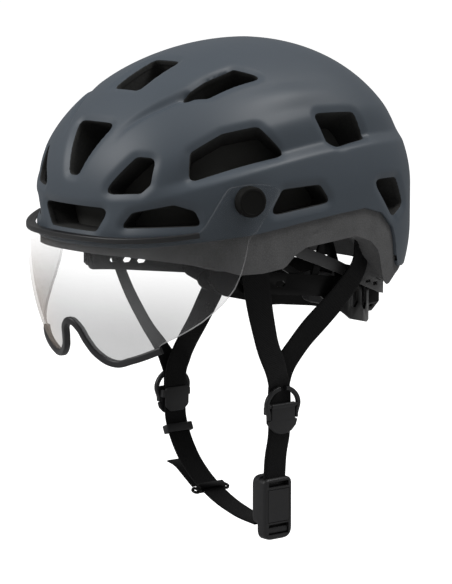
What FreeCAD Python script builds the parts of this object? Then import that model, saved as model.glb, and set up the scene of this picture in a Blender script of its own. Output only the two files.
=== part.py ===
import FreeCAD, Part
import math
import os

# A cycling helmet with a tilting face visor.
# Frame: +X is the wearer's left, -Y the front, +Z up.
# The origin is the middle of the head opening, level with the front lower edge of the shell.
# All sizes are in millimetres.

# Outside of the moulded shell, and inside of the foam where the head goes.
shell_dome = {
    "half_width": 108.0, "front": 137.0, "rear": 127.0, "top": 131.0, "waist": 27.0,
    "front_power": 2.4, "rear_power": 2.8, "side_round": 1.97, "rear_round": 1.9,
    "crown_shift": 15.0, "tuck": 6e-5, "low_end": -36.0,
}
cavity_dome = {
    "half_width": 83.0, "front": 114.0, "rear": 104.0, "top": 107.0, "waist": 20.0,
    "front_power": 2.4, "rear_power": 2.8, "side_round": 2.0, "rear_round": 2.0,
    "crown_shift": 10.0, "tuck": 0.0, "low_end": -50.0,
}
shell_wall = 1.5
beam_relief = 2.6
nape_relief = 5.0
channel_depth = 8.0
channel_width = 18.0
channel_places = (-42.0, 0.0, 42.0)
pad_thickness = 6.0
pad_gap = 0.3

# Vents: corners on the left half, or both halves where a vent crosses the middle.
vent_corner = 4.5
vent_depth = 44.0
middle_vents = {
    "brow": [(-35.5, -133, 22), (35.5, -133, 22), (24, -135.5, 6), (-24, -135.5, 6)],
    "front": [(-17, -115, 77), (17, -115, 77), (7, -134, 44), (-7, -134, 44)],
    "crown": [(-13.5, -54, 117), (13.5, -54, 117), (13.5, -88, 100), (-13.5, -88, 100)],
    "crown_rear": [(-15, 76, 115), (15, 76, 115), (12, 42, 126), (-12, 42, 126)],
    "rear": [(-17, 112, 78), (17, 112, 78), (25, 125, 50), (-25, 125, 50)],
}
side_vents = {
    "brow_side": [(47.6, -128.7, 9.9), (55.3, -124.8, 20.3), (76.2, -108.1, 25.9),
                  (84.5, -98, 22), (87, -94.5, 12.5)],
    "front_diamond": [(33.1, -133.3, 32.5), (51, -119.1, 56.7), (61.7, -112.7, 56),
                      (63, -118.2, 40.3), (58.5, -122, 34.6)],
    "crown_side": [(50.2, -80.4, 95), (50, -58.9, 106.3), (51.5, -36.7, 113.2),
                   (64.9, -21.8, 107.6), (63.8, -45.5, 103.1), (62.2, -65.1, 96.3)],
    "big_side": [(82.4, -97.6, 43.2), (78, -92.4, 61.4), (83.4, -71, 72.5),
                 (89.5, -46.5, 76.5), (101, -31.5, 59)],
    "rear_upper": [(90.7, 5.1, 82.6), (89.6, 39.8, 81.9), (97.5, 46.2, 65.6), (101.6, 14.6, 61.2)],
    "low_side": [(104.9, -44.8, 17.5), (106, -34.6, 34.2), (107.6, -5, 35.6), (108, 4.2, 23.5)],
    "rear_side": [(105, 48.7, 34.8), (98, 75.2, 34.3), (93.3, 86.1, 15.6), (100.1, 70.3, 8.9)],
    "rear_corner": [(34, 120, 36), (64, 107, 33), (68, 107, 10), (38, 121, 12)],
}

# Lower edges, as places along the helmet and heights there.
shell_edge = [(-150, -4), (-134, -4), (-121, -2.7), (-112, -1.2), (-103, 0.2), (-91, 1.8), (-77, 3.4),
              (-60, 5), (-22, 10.9), (13, 14.9), (38, 17.0), (56, 12.1), (69, 0.8), (73, -8),
              (76.5, -22.8), (81, -28), (90, -29), (140, -28)]
liner_edge = [(-150, -9), (-125, -10), (-105, -13), (-85, -16.5), (-67, -22.3), (-50, -22), (-33, -19.4),
              (-24.5, -11.4), (-15, -6.6), (31.5, -2.3), (46, -7.3), (55, -15.2), (59, -28),
              (65, -39.6), (71, -41.2), (79, -32.5), (95, -31), (140, -30)]

# Visor lens: a curved sheet round the face, hung on a pivot over each temple.
visor_plan = {"half_width": 112.2, "front": 144.5, "power": 2.4}
lens_thickness = 2.2
lens_setback = 0.145
lens_bend_start = -2.0
lens_bend_depth = 89.0
lens_bend_power = 2.4
lens_top = [(-170, 2.4), (-136, 2.4), (-126, 3.3), (-112, 5.1), (-98.6, 6.9)]
ear_outline = [(-93, 13), (-82.2, 32.3), (-78.3, 38), (-62, 39.8), (-47, 38.6), (-41, 34),
               (-44, 29), (-59, 7.5), (-64.5, 3), (-67.2, -11), (-70, -21), (-74, -31), (-81, -41),
               (-92.3, -53), (-102.3, -61.5), (-112, -69.5)]
nose_edge = [(0, -56.5), (8.5, -61), (13, -70), (18.5, -78), (31, -84), (45, -80.8), (64.5, -72.6),
             (84, -62)]
nose_steps = 16
seal_grip = 1.2
seal_cover = 3.6
seal_end = 66.0
brow_seal_wall = 1.0
brow_seal_height = 3.8
brow_seal_below_top = 2.5
brow_lip = 1.4
brow_seal_back = -99.0

# Visor pivot: screw, socket in the foam, washer and cap, one set at each temple.
pivot_y = -64.2
pivot_z = 28.2
socket_face = 100.9
socket_deep = 84.0
socket_flange_radius = 7.0
socket_body_radius = 5.5
washer_radius = 6.4
shell_hole_radius = 9.4
washer_thickness = 1.0
boss_radius = 8.5
boss_face = 105.4
pivot_gap = 0.1
screw_radius = 2.5
screw_head_radius = 4.8
screw_head_height = 1.2
running_gap = 0.05
cap_radius = 10.5
cap_height = 4.6
cap_turn = 15.0
cap_sides = 18

# Webbing.
strap_width = 19.0
strap_thickness = 1.5
straps = {
    "front_strap_left": {"facing": (0.9, -0.42, 0), "path": [
        (86, -44, -12), (84.5, -43, -24), (80, -35, -50), (72, -21, -80), (67, -9.5, -96), (60.6, -1.5, -109),
        (60.3, 0, -117), (60.3, 0, -124)]},
    "rear_strap_left": {"facing": (0.95, 0.3, 0), "path": [
        (86, 53, -5), (85, 52.5, -28), (83.4, 34, -48), (73, 14, -72), (63, 8, -88), (58.6, 4, -98),
        (58.6, 0, -110), (58.6, 0, -124)]},
    "front_strap_right": {"facing": (0.98, 0.2, 0), "path": [
        (-85, -38, -12), (-84, -37, -26), (-80, -27, -56), (-73, -14, -84), (-68, -5, -99), (-60.8, -1, -113),
        (-60.3, 0, -120.5), (-60.3, 0, -128)]},
    "rear_strap_right": {"facing": (0.96, -0.28, 0), "path": [
        (-85, 55, -6), (-83.5, 57, -34), (-79.5, 55, -57), (-74, 34, -82), (-64, 16, -94), (-58.6, 6, -102),
        (-58.6, 0, -114), (-58.6, 0, -128)]},
}
buckle_strap_path = [(59.4, -124.4), (59.4, -146), (55.4, -160), (54.0, -179)]
chin_strap_path = [(-59.4, -128.4), (-59.4, -150), (-52.5, -165), (-42.0, -179), (-26.0, -191.5), (-2.0, -203),
                   (24.0, -209.5), (43.0, -211.0)]
tail_path = [(-27.5, -195.6), (-37.5, -189.5), (-48.0, -183.0), (-57.0, -181.5)]
tail_thickness = 1.4

# Strap dividers: an open ring above a flap that clamps the webbing.
divider_x = 59.4
strap_room = 1.9
divider_left_hinge = -124.0
divider_right_hinge = -128.0
ring_radius = 16.0
ring_bar = 3.4
ring_depth = 3.6
ring_opening = 5.0
flap_width = 24.5
flap_length = 20.0
flap_thickness = 2.2
hinge_pin_radius = 1.5

# Side-release buckle: an outer half on the short strap and an inner half on the chin strap.
buckle_middle = (50.0, 1.0, -198.0)
buckle_wide = 27.0
buckle_tall = 46.0
buckle_half = 8.0
buckle_corner = 6.0
magnet_radius = 4.0
magnet_thickness = 2.4
rail_tall = 2.4

# Head retention: temple bands, nape cradle, tension belts and the fit dial.
band_plan = {"half_width": 80.0, "front": 110.0, "rear": 108.0, "front_power": 2.4, "rear_power": 2.6}
band_thickness = 1.6
cradle_inset = 1.8
cradle_thickness = 2.0
temple_y = -68.0
temple_z = -28.0
temple_pin_radius = 2.4
band_half_height = 7.5
band_slope = -0.125
peg_y = 28.0
peg_z = 0.0
peg_radius = 2.2
peg_sides = 12
peg_head_radius = 3.6
dial_z = -58.0
housing_half_width = 32.0
housing_half_height = 14.5
housing_front = 106.6
housing_back = 119.6
housing_wall = 1.8
dial_radius = 15.0
dial_thickness = 7.0
dial_grips = 15
axle_radius = 3.1
pinion_teeth = 12
gear_module = 1.0
rack_addendum = 0.75
rack_dedendum = 0.95
gear_backlash = 0.12
rack_front = 111.4
rack_back = 114.0
rack_inner_end = -14.0
rack_outer_end = 34.0
rack_bar = 3.2
belt_height = 9.0
belt_thickness = 1.4
belt_steps = 9
belt_plan = [(34.4, 112.7), (50, 105), (66, 88), (75, 62), (80.2, 25), (81.4, -14)]
belt_heights = [(116, -49.4), (105, -50.5), (88, -47), (62, -38), (25, -22), (-14, -8)]

# Facets round the domes and bands, and the levels up the domes.
round_steps = 26
level_count = 9
inner_round_steps = 20
inner_level_count = 6
top_turn = 84.6


def vec(x, y, z):
    return FreeCAD.Vector(x, y, z)


def smooth(value):
    value = min(1.0, max(0.0, value))
    return value * value * (3.0 - 2.0 * value)


def mirrored(shape):
    return shape.mirror(vec(0, 0, 0), vec(1, 0, 0))


def box(low, high):
    return Part.makeBox(high[0] - low[0], high[1] - low[1], high[2] - low[2], vec(*low))


def cylinder_x(radius, low, high, y, z):
    return Part.makeCylinder(radius, high - low, vec(low, y, z), vec(1, 0, 0))


def cylinder_y(radius, low, high, x, z):
    return Part.makeCylinder(radius, high - low, vec(x, low, z), vec(0, 1, 0))


# A many-sided rod along X, for a round form that nothing turns on.
def rod_x(radius, low, high, y, z, sides=20):
    turns = [2 * math.pi * (step + 0.5) / sides for step in range(sides)]
    points = [vec(low, y + radius * math.cos(turn), z + radius * math.sin(turn)) for turn in turns]
    return Part.Face(Part.makePolygon(points + [points[0]])).extrude(vec(high - low, 0, 0))


def grown(dome, amount):
    bigger = dict(dome)
    for key in ("half_width", "front", "rear", "top"):
        bigger[key] = dome[key] + amount
    return bigger


# Distance from the middle to a rounded oblong outline, at an angle from its front.
def rounded_radius(angle, side, reach, power):
    across = abs(math.sin(angle) / side) ** power
    along = abs(math.cos(angle) / reach) ** power
    return (across + along) ** (-1.0 / power)


# The raised beam that runs along each side of the shell.
def beam_height(y):
    return 57.5 + 0.115 * y - 0.00096 * y * y


def beam_inset(x, y, z):
    above = z - beam_height(y)
    side = smooth((abs(x) / math.hypot(x, y) - 0.42) / 0.38)
    return beam_relief * side * smooth((above + 2.0) / 9.0) * (1.0 - smooth((above - 6.0) / 34.0))


def dome_point(dome, angle, z, with_beam):
    climb = max(0.0, (z - dome["waist"]) / (dome["top"] - dome["waist"]))
    facing_front = math.cos(angle) > 0
    side = dome["half_width"] * (1.0 - climb ** dome["side_round"]) ** (1.0 / dome["side_round"])
    if facing_front:
        reach = dome["front"] * (1.0 - climb ** dome["side_round"]) ** (1.0 / dome["side_round"])
        power = dome["front_power"]
    else:
        tuck = 1.0 - dome["tuck"] * min(0.0, z) ** 2
        reach = dome["rear"] * tuck * (1.0 - climb ** dome["rear_round"]) ** (1.0 / dome["rear_round"])
        power = dome["rear_power"]
    radius = rounded_radius(angle, side, reach, power)
    x = radius * math.sin(angle)
    y = -radius * math.cos(angle)
    if with_beam:
        keep = 1.0 - beam_inset(x, y, z) / radius
        x = x * keep
        y = y * keep
    return vec(x, y + dome["crown_shift"] * climb ** 2, z)


def dome_ring(dome, z, with_beam=False, steps=round_steps):
    return [dome_point(dome, 2 * math.pi * step / steps, z, with_beam) for step in range(steps)]


def closed_wire(points):
    return Part.makePolygon(points + [points[0]])


# A closed solid through level rings of matching points, with small flat facets between them.
def ring_loft(rings):
    faces = [Part.Face(closed_wire(rings[0])), Part.Face(closed_wire(rings[-1]))]
    count = len(rings[0])
    for lower, upper in zip(rings[:-1], rings[1:]):
        for index in range(count):
            following = (index + 1) % count
            faces.append(Part.Face(closed_wire([lower[index], lower[following], upper[following]])))
            faces.append(Part.Face(closed_wire([lower[index], upper[following], upper[index]])))
    solid = Part.Solid(Part.Shell(faces))
    if solid.Volume < 0:
        solid.reverse()
    return solid


def dome_solid(dome, with_beam=False, steps=inner_round_steps, levels=inner_level_count):
    waist = dome["waist"]
    rise = dome["top"] - waist
    turn = math.radians(top_turn / (levels - 1))
    heights = [dome["low_end"]] + [waist + rise * math.sin(turn * step) for step in range(levels)]
    return ring_loft([dome_ring(dome, z, with_beam, steps) for z in heights])


# A flat outline with each corner eased by short straight steps.
def eased_wire(corners, radius, steps=2):
    points = []
    count = len(corners)
    for index in range(count):
        corner = corners[index]
        back = corners[index - 1] - corner
        ahead = corners[(index + 1) % count] - corner
        turn = back.getAngle(ahead)
        reach = min(radius / math.tan(turn / 2.0), 0.45 * back.Length, 0.45 * ahead.Length)
        start = corner + back.normalize() * reach
        end = corner + ahead.normalize() * reach
        points += eased_corner(start, corner, end, steps)
    return closed_wire(points)


def eased_corner(start, corner, end, steps):
    points = []
    for step in range(steps + 1):
        share = step / steps
        near = start + (corner - start) * share
        far = corner + (end - corner) * share
        points.append(near + (far - near) * share)
    return points


def side_prism(outline, half_reach=130.0, radius=0.0, steps=1):
    corners = [vec(-half_reach, y, z) for y, z in outline]
    wire = eased_wire(corners, radius, steps) if radius > 0 else closed_wire(corners)
    return Part.Face(wire).extrude(vec(2 * half_reach, 0, 0))


def spline(points):
    curve = Part.BSplineCurve()
    curve.interpolate(points)
    return curve


# Everything under a lower edge, as a block to cut away.
def below_edge(edge, floor=-90.0):
    outline = edge + [(edge[-1][0], floor), (edge[0][0], floor)]
    return side_prism(outline)


# A cutter through shell and foam, square to the surface.
def vent_cutter(corners):
    points = [vec(*corner) for corner in corners]
    middle = vec(0, 0, 0)
    for point in points:
        middle = middle + point * (1.0 / len(points))
    outward = (middle - vec(0, 5, 12)).normalize()
    flat = [point - outward * ((point - middle).dot(outward) + vent_depth) for point in points]
    return Part.Face(eased_wire(flat, vent_corner, 1)).extrude(outward * (vent_depth + 16.0))


def all_vents():
    cutters = [vent_cutter(corners) for corners in middle_vents.values()]
    for corners in side_vents.values():
        cutter = vent_cutter(corners)
        cutters.append(cutter)
        cutters.append(mirrored(cutter))
    return cutters


def both_sides(shape):
    return [shape, mirrored(shape)]


def make_shell_and_liner(vents):
    outer = dome_solid(shell_dome, True, round_steps, level_count)
    inner = dome_solid(grown(shell_dome, -shell_wall), True)
    sockets = both_sides(rod_x(shell_hole_radius, 96.0, 112.0, pivot_y, pivot_z, 16))
    shell = outer.cut(inner).cut([below_edge(shell_edge)] + sockets + vents)

    cavity = dome_solid(cavity_dome)
    wide_cavity = dome_solid(grown(cavity_dome, channel_depth))
    channels = []
    for place in channel_places:
        slab = box((place - channel_width / 2, -120, 34), (place + channel_width / 2, 120, 130))
        channels.append(wide_cavity.common(slab))
    nape = dome_solid(grown(cavity_dome, nape_relief)).common(box((-110, 35, -60), (110, 130, -20)))
    pockets = both_sides(rod_x(socket_flange_radius, socket_face - 2.0, 112.0, pivot_y, pivot_z, 16))
    pockets += both_sides(rod_x(socket_body_radius, socket_deep, 112.0, pivot_y, pivot_z, 12))
    pockets += both_sides(rod_x(shell_hole_radius, socket_face + 0.3, 112.0, pivot_y, pivot_z, 16))
    for strap in straps.values():
        pockets.append(strap_anchor(strap))
        x, y, z = strap["path"][0]
        way = [(x, y, z + 2.0)] + strap["path"][1:3]
        pockets.append(strap_loft(way, strap["facing"], strap["facing"], strap_width + 4.0, 5.0))
    pockets += both_sides(box((70.4, temple_y - 4.4, -40), (73.7, temple_y + 4.4, -5.6)))
    pockets += both_sides(rod_x(peg_radius, 70, 92, peg_y, peg_z, peg_sides))
    liner = inner.cut([cavity, nape, below_edge(liner_edge)] + channels + pockets + vents)
    return shell.removeSplitter(), liner.removeSplitter()


def cavity_pad(region, thickness=pad_thickness):
    outer = dome_solid(grown(cavity_dome, -pad_gap))
    inner = dome_solid(grown(cavity_dome, -pad_gap - thickness))
    return outer.cut(inner).common(region)


def make_pads():
    brow_corners = [vec(-62, -130, -7), vec(62, -130, -7), vec(56, -130, 17), vec(-56, -130, 17)]
    brow_region = eased_wire(brow_corners, 9)
    brow = cavity_pad(Part.Face(brow_region).extrude(vec(0, 70, 0)))
    strips = []
    for place in (-21.0, 21.0):
        corners = [vec(place - 9, -66, 60), vec(place + 9, -66, 60),
                   vec(place + 9, 62, 60), vec(place - 9, 62, 60)]
        region = Part.Face(eased_wire(corners, 8, 1)).extrude(vec(0, 0, 60))
        strips.append(cavity_pad(region))
    sides = []
    corners = [(-44, 6), (16, 6), (12, 28), (-38, 28)]
    side_region = side_prism(corners, 100.0, 8.0)
    for low, high in ((50, 100), (-100, -50)):
        sides.append(cavity_pad(side_region.common(box((low, -60, -10), (high, 60, 60)))))
    return brow, Part.makeCompound(strips), Part.makeCompound(sides)


def visor_reach(plan_inset, z):
    depth = max(0.0, lens_bend_start - z) / lens_bend_depth
    shrink = 1.0 - lens_setback * depth ** lens_bend_power
    return visor_plan["half_width"] * shrink - plan_inset, visor_plan["front"] * shrink - plan_inset


def visor_arc(plan_inset, z, end_angle=76.0, steps=16):
    side, front = visor_reach(plan_inset, z)
    power = visor_plan["power"]
    points = []
    for step in range(steps + 1):
        angle = math.radians(end_angle * (2.0 * step / steps - 1.0))
        radius = rounded_radius(angle, side, front, power)
        points.append(vec(radius * math.sin(angle), -radius * math.cos(angle), z))
    return points


def visor_sheet(outset, inset):
    rings = []
    for z in (-96, -78, -60, -42, -22, -2, 48):
        rings.append(visor_arc(-outset, z) + list(reversed(visor_arc(inset, z))))
    return ring_loft(rings)


# The lens's lower edge from right to left, moved square to itself by an offset.
def nose_points(offset):
    points = [vec(-x, -170, z) for x, z in reversed(nose_edge[1:])] + [vec(x, -170, z) for x, z in nose_edge]
    curve = spline(points)
    first, last = curve.FirstParameter, curve.LastParameter
    moved = []
    for step in range(nose_steps + 1):
        place = first + (last - first) * step / nose_steps
        along = curve.tangent(place)[0]
        moved.append(curve.value(place) + vec(-along.z, 0, along.x) * offset)
    return moved


def make_lens():
    sheet = visor_sheet(0.0, lens_thickness)
    outline = lens_top + ear_outline + [(-112, -100), (-170, -100)]
    sheet = sheet.common(side_prism(outline, 130.0))
    nose = nose_points(0.0)
    below = [vec(nose[-1].x, nose[-1].y, -110), vec(nose[0].x, nose[0].y, -110)]
    sheet = sheet.cut(Part.Face(closed_wire(nose + below)).extrude(vec(0, 58, 0)))
    boss_back = socket_face + washer_thickness + pivot_gap
    bosses = both_sides(rod_x(boss_radius, boss_back, boss_face, pivot_y, pivot_z, 16))
    faces = both_sides(rod_x(socket_flange_radius + 0.6, 95.0, boss_back, pivot_y, pivot_z, 12))
    faces += both_sides(rod_x(screw_head_radius + 0.6, boss_face, 112.0, pivot_y, pivot_z, 12))
    bores = both_sides(cylinder_x(screw_radius + running_gap, 95.0, 112.0, pivot_y, pivot_z))
    return sheet.fuse(bosses).cut(faces + bores).removeSplitter()


def make_nose_seal(lens):
    outline = nose_points(seal_cover) + list(reversed(nose_points(-seal_grip)))
    region = Part.Face(closed_wire(outline)).extrude(vec(0, 80, 0))
    region = region.common(box((-seal_end, -170, -100), (seal_end, -90, 0)))
    return visor_sheet(seal_grip, lens_thickness + seal_grip).common(region).cut(lens)


def plan_slab(points, low, high):
    return Part.Face(closed_wire(points)).extrude(vec(0, 0, high - low))


# A strip that follows the lens's top edge, between two heights above the seal's foot.
def brow_strip(low, high):
    foot = [(y, z - brow_seal_below_top) for y, z in lens_top]
    lower = [(y, z + low) for y, z in foot]
    upper = [(y, z + high) for y, z in foot]
    return side_prism(lower + list(reversed(upper)))


# The seal grips the lens's top edge, and its lip reaches in to the front of the shell.
def make_brow_seal(lens):
    sleeve = visor_sheet(brow_seal_wall, lens_thickness + brow_seal_wall)
    grip = sleeve.common(brow_strip(0.0, brow_seal_height))
    behind_lens = plan_slab(visor_arc(lens_thickness, lens_bend_start), lens_bend_start, 14.0)
    brow = plan_slab(dome_ring(grown(shell_dome, 0.9), lens_bend_start), lens_bend_start, 14.0)
    lip = behind_lens.cut(brow).common(brow_strip(brow_seal_height - brow_lip, brow_seal_height))
    ends = box((-120, -160, -5), (120, brow_seal_back, 20))
    return grip.fuse(lip).common(ends).cut(lens).removeSplitter()


def make_pivot_set(lens):
    socket = rod_x(socket_flange_radius, socket_face - 2.0, socket_face, pivot_y, pivot_z, 16)
    socket = socket.fuse(rod_x(socket_body_radius, socket_deep, socket_face - 2.0, pivot_y, pivot_z, 12))
    socket = socket.cut(rod_x(screw_radius + 0.1, socket_deep + 3.0, 110.0, pivot_y, pivot_z, 12))
    washer = rod_x(washer_radius, socket_face, socket_face + washer_thickness, pivot_y, pivot_z)
    washer = washer.cut(rod_x(screw_radius + 0.2, 90, 110, pivot_y, pivot_z, 14))
    head_low = boss_face + pivot_gap
    screw = rod_x(screw_radius, socket_deep + 3.0, head_low, pivot_y, pivot_z, 16)
    screw = screw.fuse(rod_x(screw_head_radius, head_low, head_low + screw_head_height, pivot_y, pivot_z, 16))
    key_floor = head_low + screw_head_height - 0.9
    screw = screw.cut(rod_x(1.6, key_floor, key_floor + 2.0, pivot_y, pivot_z, 6))

    side, front = visor_reach(0.0, pivot_z)
    power = visor_plan["power"]
    surface_x = side * (1.0 - (abs(pivot_y) / front) ** power) ** (1.0 / power)
    outward = vec(math.cos(math.radians(cap_turn)), -math.sin(math.radians(cap_turn)), 0)
    foot = vec(surface_x, pivot_y, pivot_z)
    across = vec(-outward.y, outward.x, 0)
    rings = []
    for radius, height in ((cap_radius, -3.0), (cap_radius, cap_height - 0.9), (cap_radius - 0.9, cap_height)):
        centre = foot + outward * height
        turns = [2 * math.pi * step / cap_sides for step in range(cap_sides)]
        rings.append([centre + across * (radius * math.cos(turn)) + vec(0, 0, radius * math.sin(turn))
                      for turn in turns])
    cap = ring_loft(rings)
    behind_lens = plan_slab(visor_arc(0.0, 0.0), 0.0, 60.0)
    cap = cap.cut(behind_lens)
    cap = cap.cut(rod_x(boss_radius + 0.4, 96.0, boss_face + 0.1, pivot_y, pivot_z, 16))
    head_room = head_low + screw_head_height + 0.3
    cap = cap.cut(rod_x(screw_head_radius + 0.6, 96.0, head_room, pivot_y, pivot_z, 12))
    return socket, washer, screw, cap.cut(lens)


# A path with each bend eased over several places.
def eased_path(places):
    points = [places[0]]
    for index in range(1, len(places) - 1):
        corner = places[index]
        back = places[index - 1] - corner
        ahead = places[index + 1] - corner
        reach = 0.4 * min(back.Length, ahead.Length)
        start = corner + back.normalize() * reach
        end = corner + ahead.normalize() * reach
        points += eased_corner(start, corner, end, 2)
    return points + [places[-1]]


# A flat webbing strap through a list of places, twisting from one facing to another.
# The last part of the way all has the end's facing.
def strap_loft(path, facing_start, facing_end, width=strap_width, thickness=strap_thickness):
    places = eased_path([vec(*place) for place in path])
    rings = []
    count = len(places)
    for index in range(count):
        before = places[max(0, index - 1)]
        after = places[min(count - 1, index + 1)]
        along = (after - before).normalize()
        share = smooth(index / (0.7 * count))
        facing = vec(*facing_start) * (1.0 - share) + vec(*facing_end) * share
        across = along.cross(facing).normalize()
        face = across.cross(along).normalize()
        half = across * (width / 2.0)
        deep = face * (thickness / 2.0)
        centre = places[index]
        rings.append([centre + half + deep, centre - half + deep, centre - half - deep, centre + half - deep])
    return ring_loft(rings)


# The moulded-in bar that holds the top of a strap.
def strap_anchor(strap):
    x, y, z = strap["path"][0]
    facing = strap["facing"]
    return strap_loft([(x, y, z + 5.0), (x, y, z)], facing, facing, strap_width + 4.0, 6.0)


# A strap that bends in one upright plane only.
def flat_strap(path, thickness, width=strap_width):
    facing = vec(1, 0, -0.8)
    return strap_loft([(x, 0, z) for x, z in path], facing, facing, width, thickness)


def upright_outline(corners, radius, low_x, high_x):
    wire = eased_wire([vec(low_x, y, z) for y, z in corners], radius, 1)
    return Part.Face(wire).extrude(vec(high_x - low_x, 0, 0))


# Divider for the left side, with its hinge line at the given height.
def make_divider(hinge_z):
    inner_x = divider_x - strap_room
    outer_x = divider_x + strap_room
    ring = rod_x(ring_radius, outer_x + 0.3, outer_x + ring_depth, 0, hinge_z - 2.0, 22)
    ring = ring.cut(rod_x(ring_radius - ring_bar, 40, 80, 0, hinge_z - 2.0, 22))
    ring = ring.cut(box((40, -40, hinge_z - 40), (80, 40, hinge_z - 2.0)))
    ring = ring.cut(box((40, -12.9, hinge_z - 8), (80, 12.9, hinge_z + 2.3)))
    ring = ring.cut(box((40, -ring_opening / 2, hinge_z), (80, ring_opening / 2, hinge_z + 30)))
    back_corners = [(-13.5, hinge_z + 1), (13.5, hinge_z + 1), (12.5, hinge_z - 15), (6, hinge_z - 20),
                    (-6, hinge_z - 20), (-12.5, hinge_z - 15)]
    back = upright_outline(back_corners, 4.0, inner_x - 1.6, inner_x)
    frame = ring.fuse(back)
    for side in (-1, 1):
        low = 12.9 if side > 0 else -16.0
        high = 16.0 if side > 0 else -12.9
        cheek = box((inner_x - 1.6, low, hinge_z - 6.0), (outer_x + ring_depth, high, hinge_z + 1.8))
        frame = frame.fuse(cheek)
    pin_x = outer_x + 1.7
    for side in (-1, 1):
        pin_hole = rod_x(hinge_pin_radius + 0.1, 10, 17, 0, 0, 12)
        pin_hole.rotate(vec(0, 0, 0), vec(0, 0, 1), 90 * side)
        pin_hole.translate(vec(pin_x, 0, hinge_z))
        frame = frame.cut(pin_hole)
    plate_corners = [(-flap_width / 2, hinge_z), (flap_width / 2, hinge_z), (flap_width / 2, hinge_z - 11),
                     (6, hinge_z - flap_length), (-6, hinge_z - flap_length), (-flap_width / 2, hinge_z - 11)]
    flap = upright_outline(plate_corners, 6.0, outer_x + 0.3, outer_x + 0.3 + flap_thickness)
    barrel = cylinder_y(hinge_pin_radius, -15.6, 15.6, pin_x, hinge_z)
    knuckle = box((pin_x - 1.6, -flap_width / 2, hinge_z - 1.6), (pin_x + 1.6, flap_width / 2, hinge_z + 1.6))
    long_edges = [edge for edge in knuckle.Edges if edge.BoundBox.YLength > 1.0]
    flap = flap.fuse([barrel, knuckle.makeChamfer(0.9, long_edges)]).removeSplitter()
    return frame.removeSplitter(), flap


def make_buckle():
    x, y, z = buckle_middle
    low_y = y - buckle_wide / 2
    high_y = y + buckle_wide / 2
    low_z = z - buckle_tall / 2
    high_z = z + buckle_tall / 2
    corners = [(low_y, low_z), (high_y, low_z), (high_y, high_z), (low_y, high_z)]
    outer = upright_outline(corners, buckle_corner, x + 0.15, x + buckle_half)
    front_edges = [edge for edge in outer.Edges if edge.BoundBox.XMin > x + buckle_half - 0.1]
    outer = outer.makeChamfer(1.8, front_edges)
    slot_half = strap_width / 2 + 0.5
    slot = box((x + 2.1, -slot_half, high_z - 7), (x + 5.9, slot_half, high_z + 2))
    bar_gap = box((x + 5.4, -slot_half, high_z - 7), (x + 12, slot_half, high_z - 4.2))
    lower_gap = box((x + 3.4, -slot_half, low_z + 4), (x + 12, slot_half, low_z + 12))
    rail_cut = box((x - 2, low_y - 2, z - 6.3), (x + rail_tall + 0.4, high_y + 2, z + 6.3))
    magnet_room = rod_x(magnet_radius, x + rail_tall + 0.4, x + rail_tall + 0.4 + magnet_thickness, y, z)
    outer = outer.cut([slot, bar_gap, lower_gap, rail_cut, magnet_room])
    magnet = magnet_room.copy()

    inner = upright_outline(corners, buckle_corner, x - buckle_half, x - 0.15)
    back_edges = [edge for edge in inner.Edges if edge.BoundBox.XMax < x - buckle_half + 0.1]
    inner = inner.makeChamfer(1.8, back_edges)
    rail = box((x - 0.5, low_y + 1, z - 6.0), (x + rail_tall, high_y - 1, z + 6.0))
    chin_slot = box((x - 9, -slot_half, low_z + 8.0), (x - 3.2, slot_half, low_z + 12.0))
    keep_room = rod_x(magnet_radius, x + rail_tall - 0.1 - magnet_thickness, x + rail_tall - 0.1, y, z)
    inner = inner.fuse(rail).cut([chin_slot, keep_room])
    return outer.removeSplitter(), magnet, inner.removeSplitter(), keep_room.copy()


def strap_direction(start, end):
    run = vec(end[0] - start[0], 0, end[1] - start[1])
    return run.normalize()


# Places a shape drawn round a strap running straight down onto a straight run of the chin strap.
def on_chin_strap(shape, first, share):
    start = chin_strap_path[first]
    end = chin_strap_path[first + 1]
    run = strap_direction(start, end)
    x = start[0] + (end[0] - start[0]) * share
    z = start[1] + (end[1] - start[1]) * share
    turn = math.degrees(math.atan2(run.x, -run.z))
    placed = shape.copy()
    placed.rotate(vec(0, 0, 0), vec(0, 1, 0), -turn)
    placed.translate(vec(x, 0, z))
    return placed


def make_keeper():
    half = strap_width / 2 + 0.6
    outer = box((-3.2, -half - 2.2, -3.0), (3.2, half + 2.2, 3.0))
    hole = box((-1.15, -half, -4.0), (1.15, half, 4.0))
    edges = [edge for edge in outer.Edges if abs(edge.BoundBox.ZLength - 6.0) < 0.01]
    return on_chin_strap(outer.makeChamfer(1.2, edges).cut(hole), 1, 0.5)


def make_adjuster():
    half = strap_width / 2 + 0.6
    plate = box((-2.2, -half - 1.6, -2.6), (2.9, half + 1.6, 2.6))
    strap_hole = box((-1.15, -half, -4.0), (1.15, half, 4.0))
    loops = []
    for side in (-1, 1):
        loop = rod_x(3.4, -1.8, -0.2, side * (half + 3.4), 0, 12)
        loops.append(loop.cut(rod_x(1.9, -3.0, 1.0, side * (half + 3.4), 0, 12)))
    plate = plate.cut(strap_hole)
    return on_chin_strap(plate.fuse(loops), 4, 0.35)


# Closed plan outline of the head band, made of formula points.
def band_outline(inset, z):
    points = []
    for step in range(round_steps):
        angle = 2 * math.pi * step / round_steps
        front = math.cos(angle) > 0
        reach = (band_plan["front"] if front else band_plan["rear"]) - inset
        side = band_plan["half_width"] - inset
        power = band_plan["front_power"] if front else band_plan["rear_power"]
        radius = rounded_radius(angle, side, reach, power)
        points.append(vec(radius * math.sin(angle), -radius * math.cos(angle), z))
    return Part.Face(closed_wire(points))


def band_ring(inset, thickness, low, high):
    outer = band_outline(inset, low).extrude(vec(0, 0, high - low))
    inner = band_outline(inset + thickness, low).extrude(vec(0, 0, high - low))
    return outer.cut(inner)


def band_centre(y):
    return temple_z + band_slope * (y - temple_y)


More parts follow.
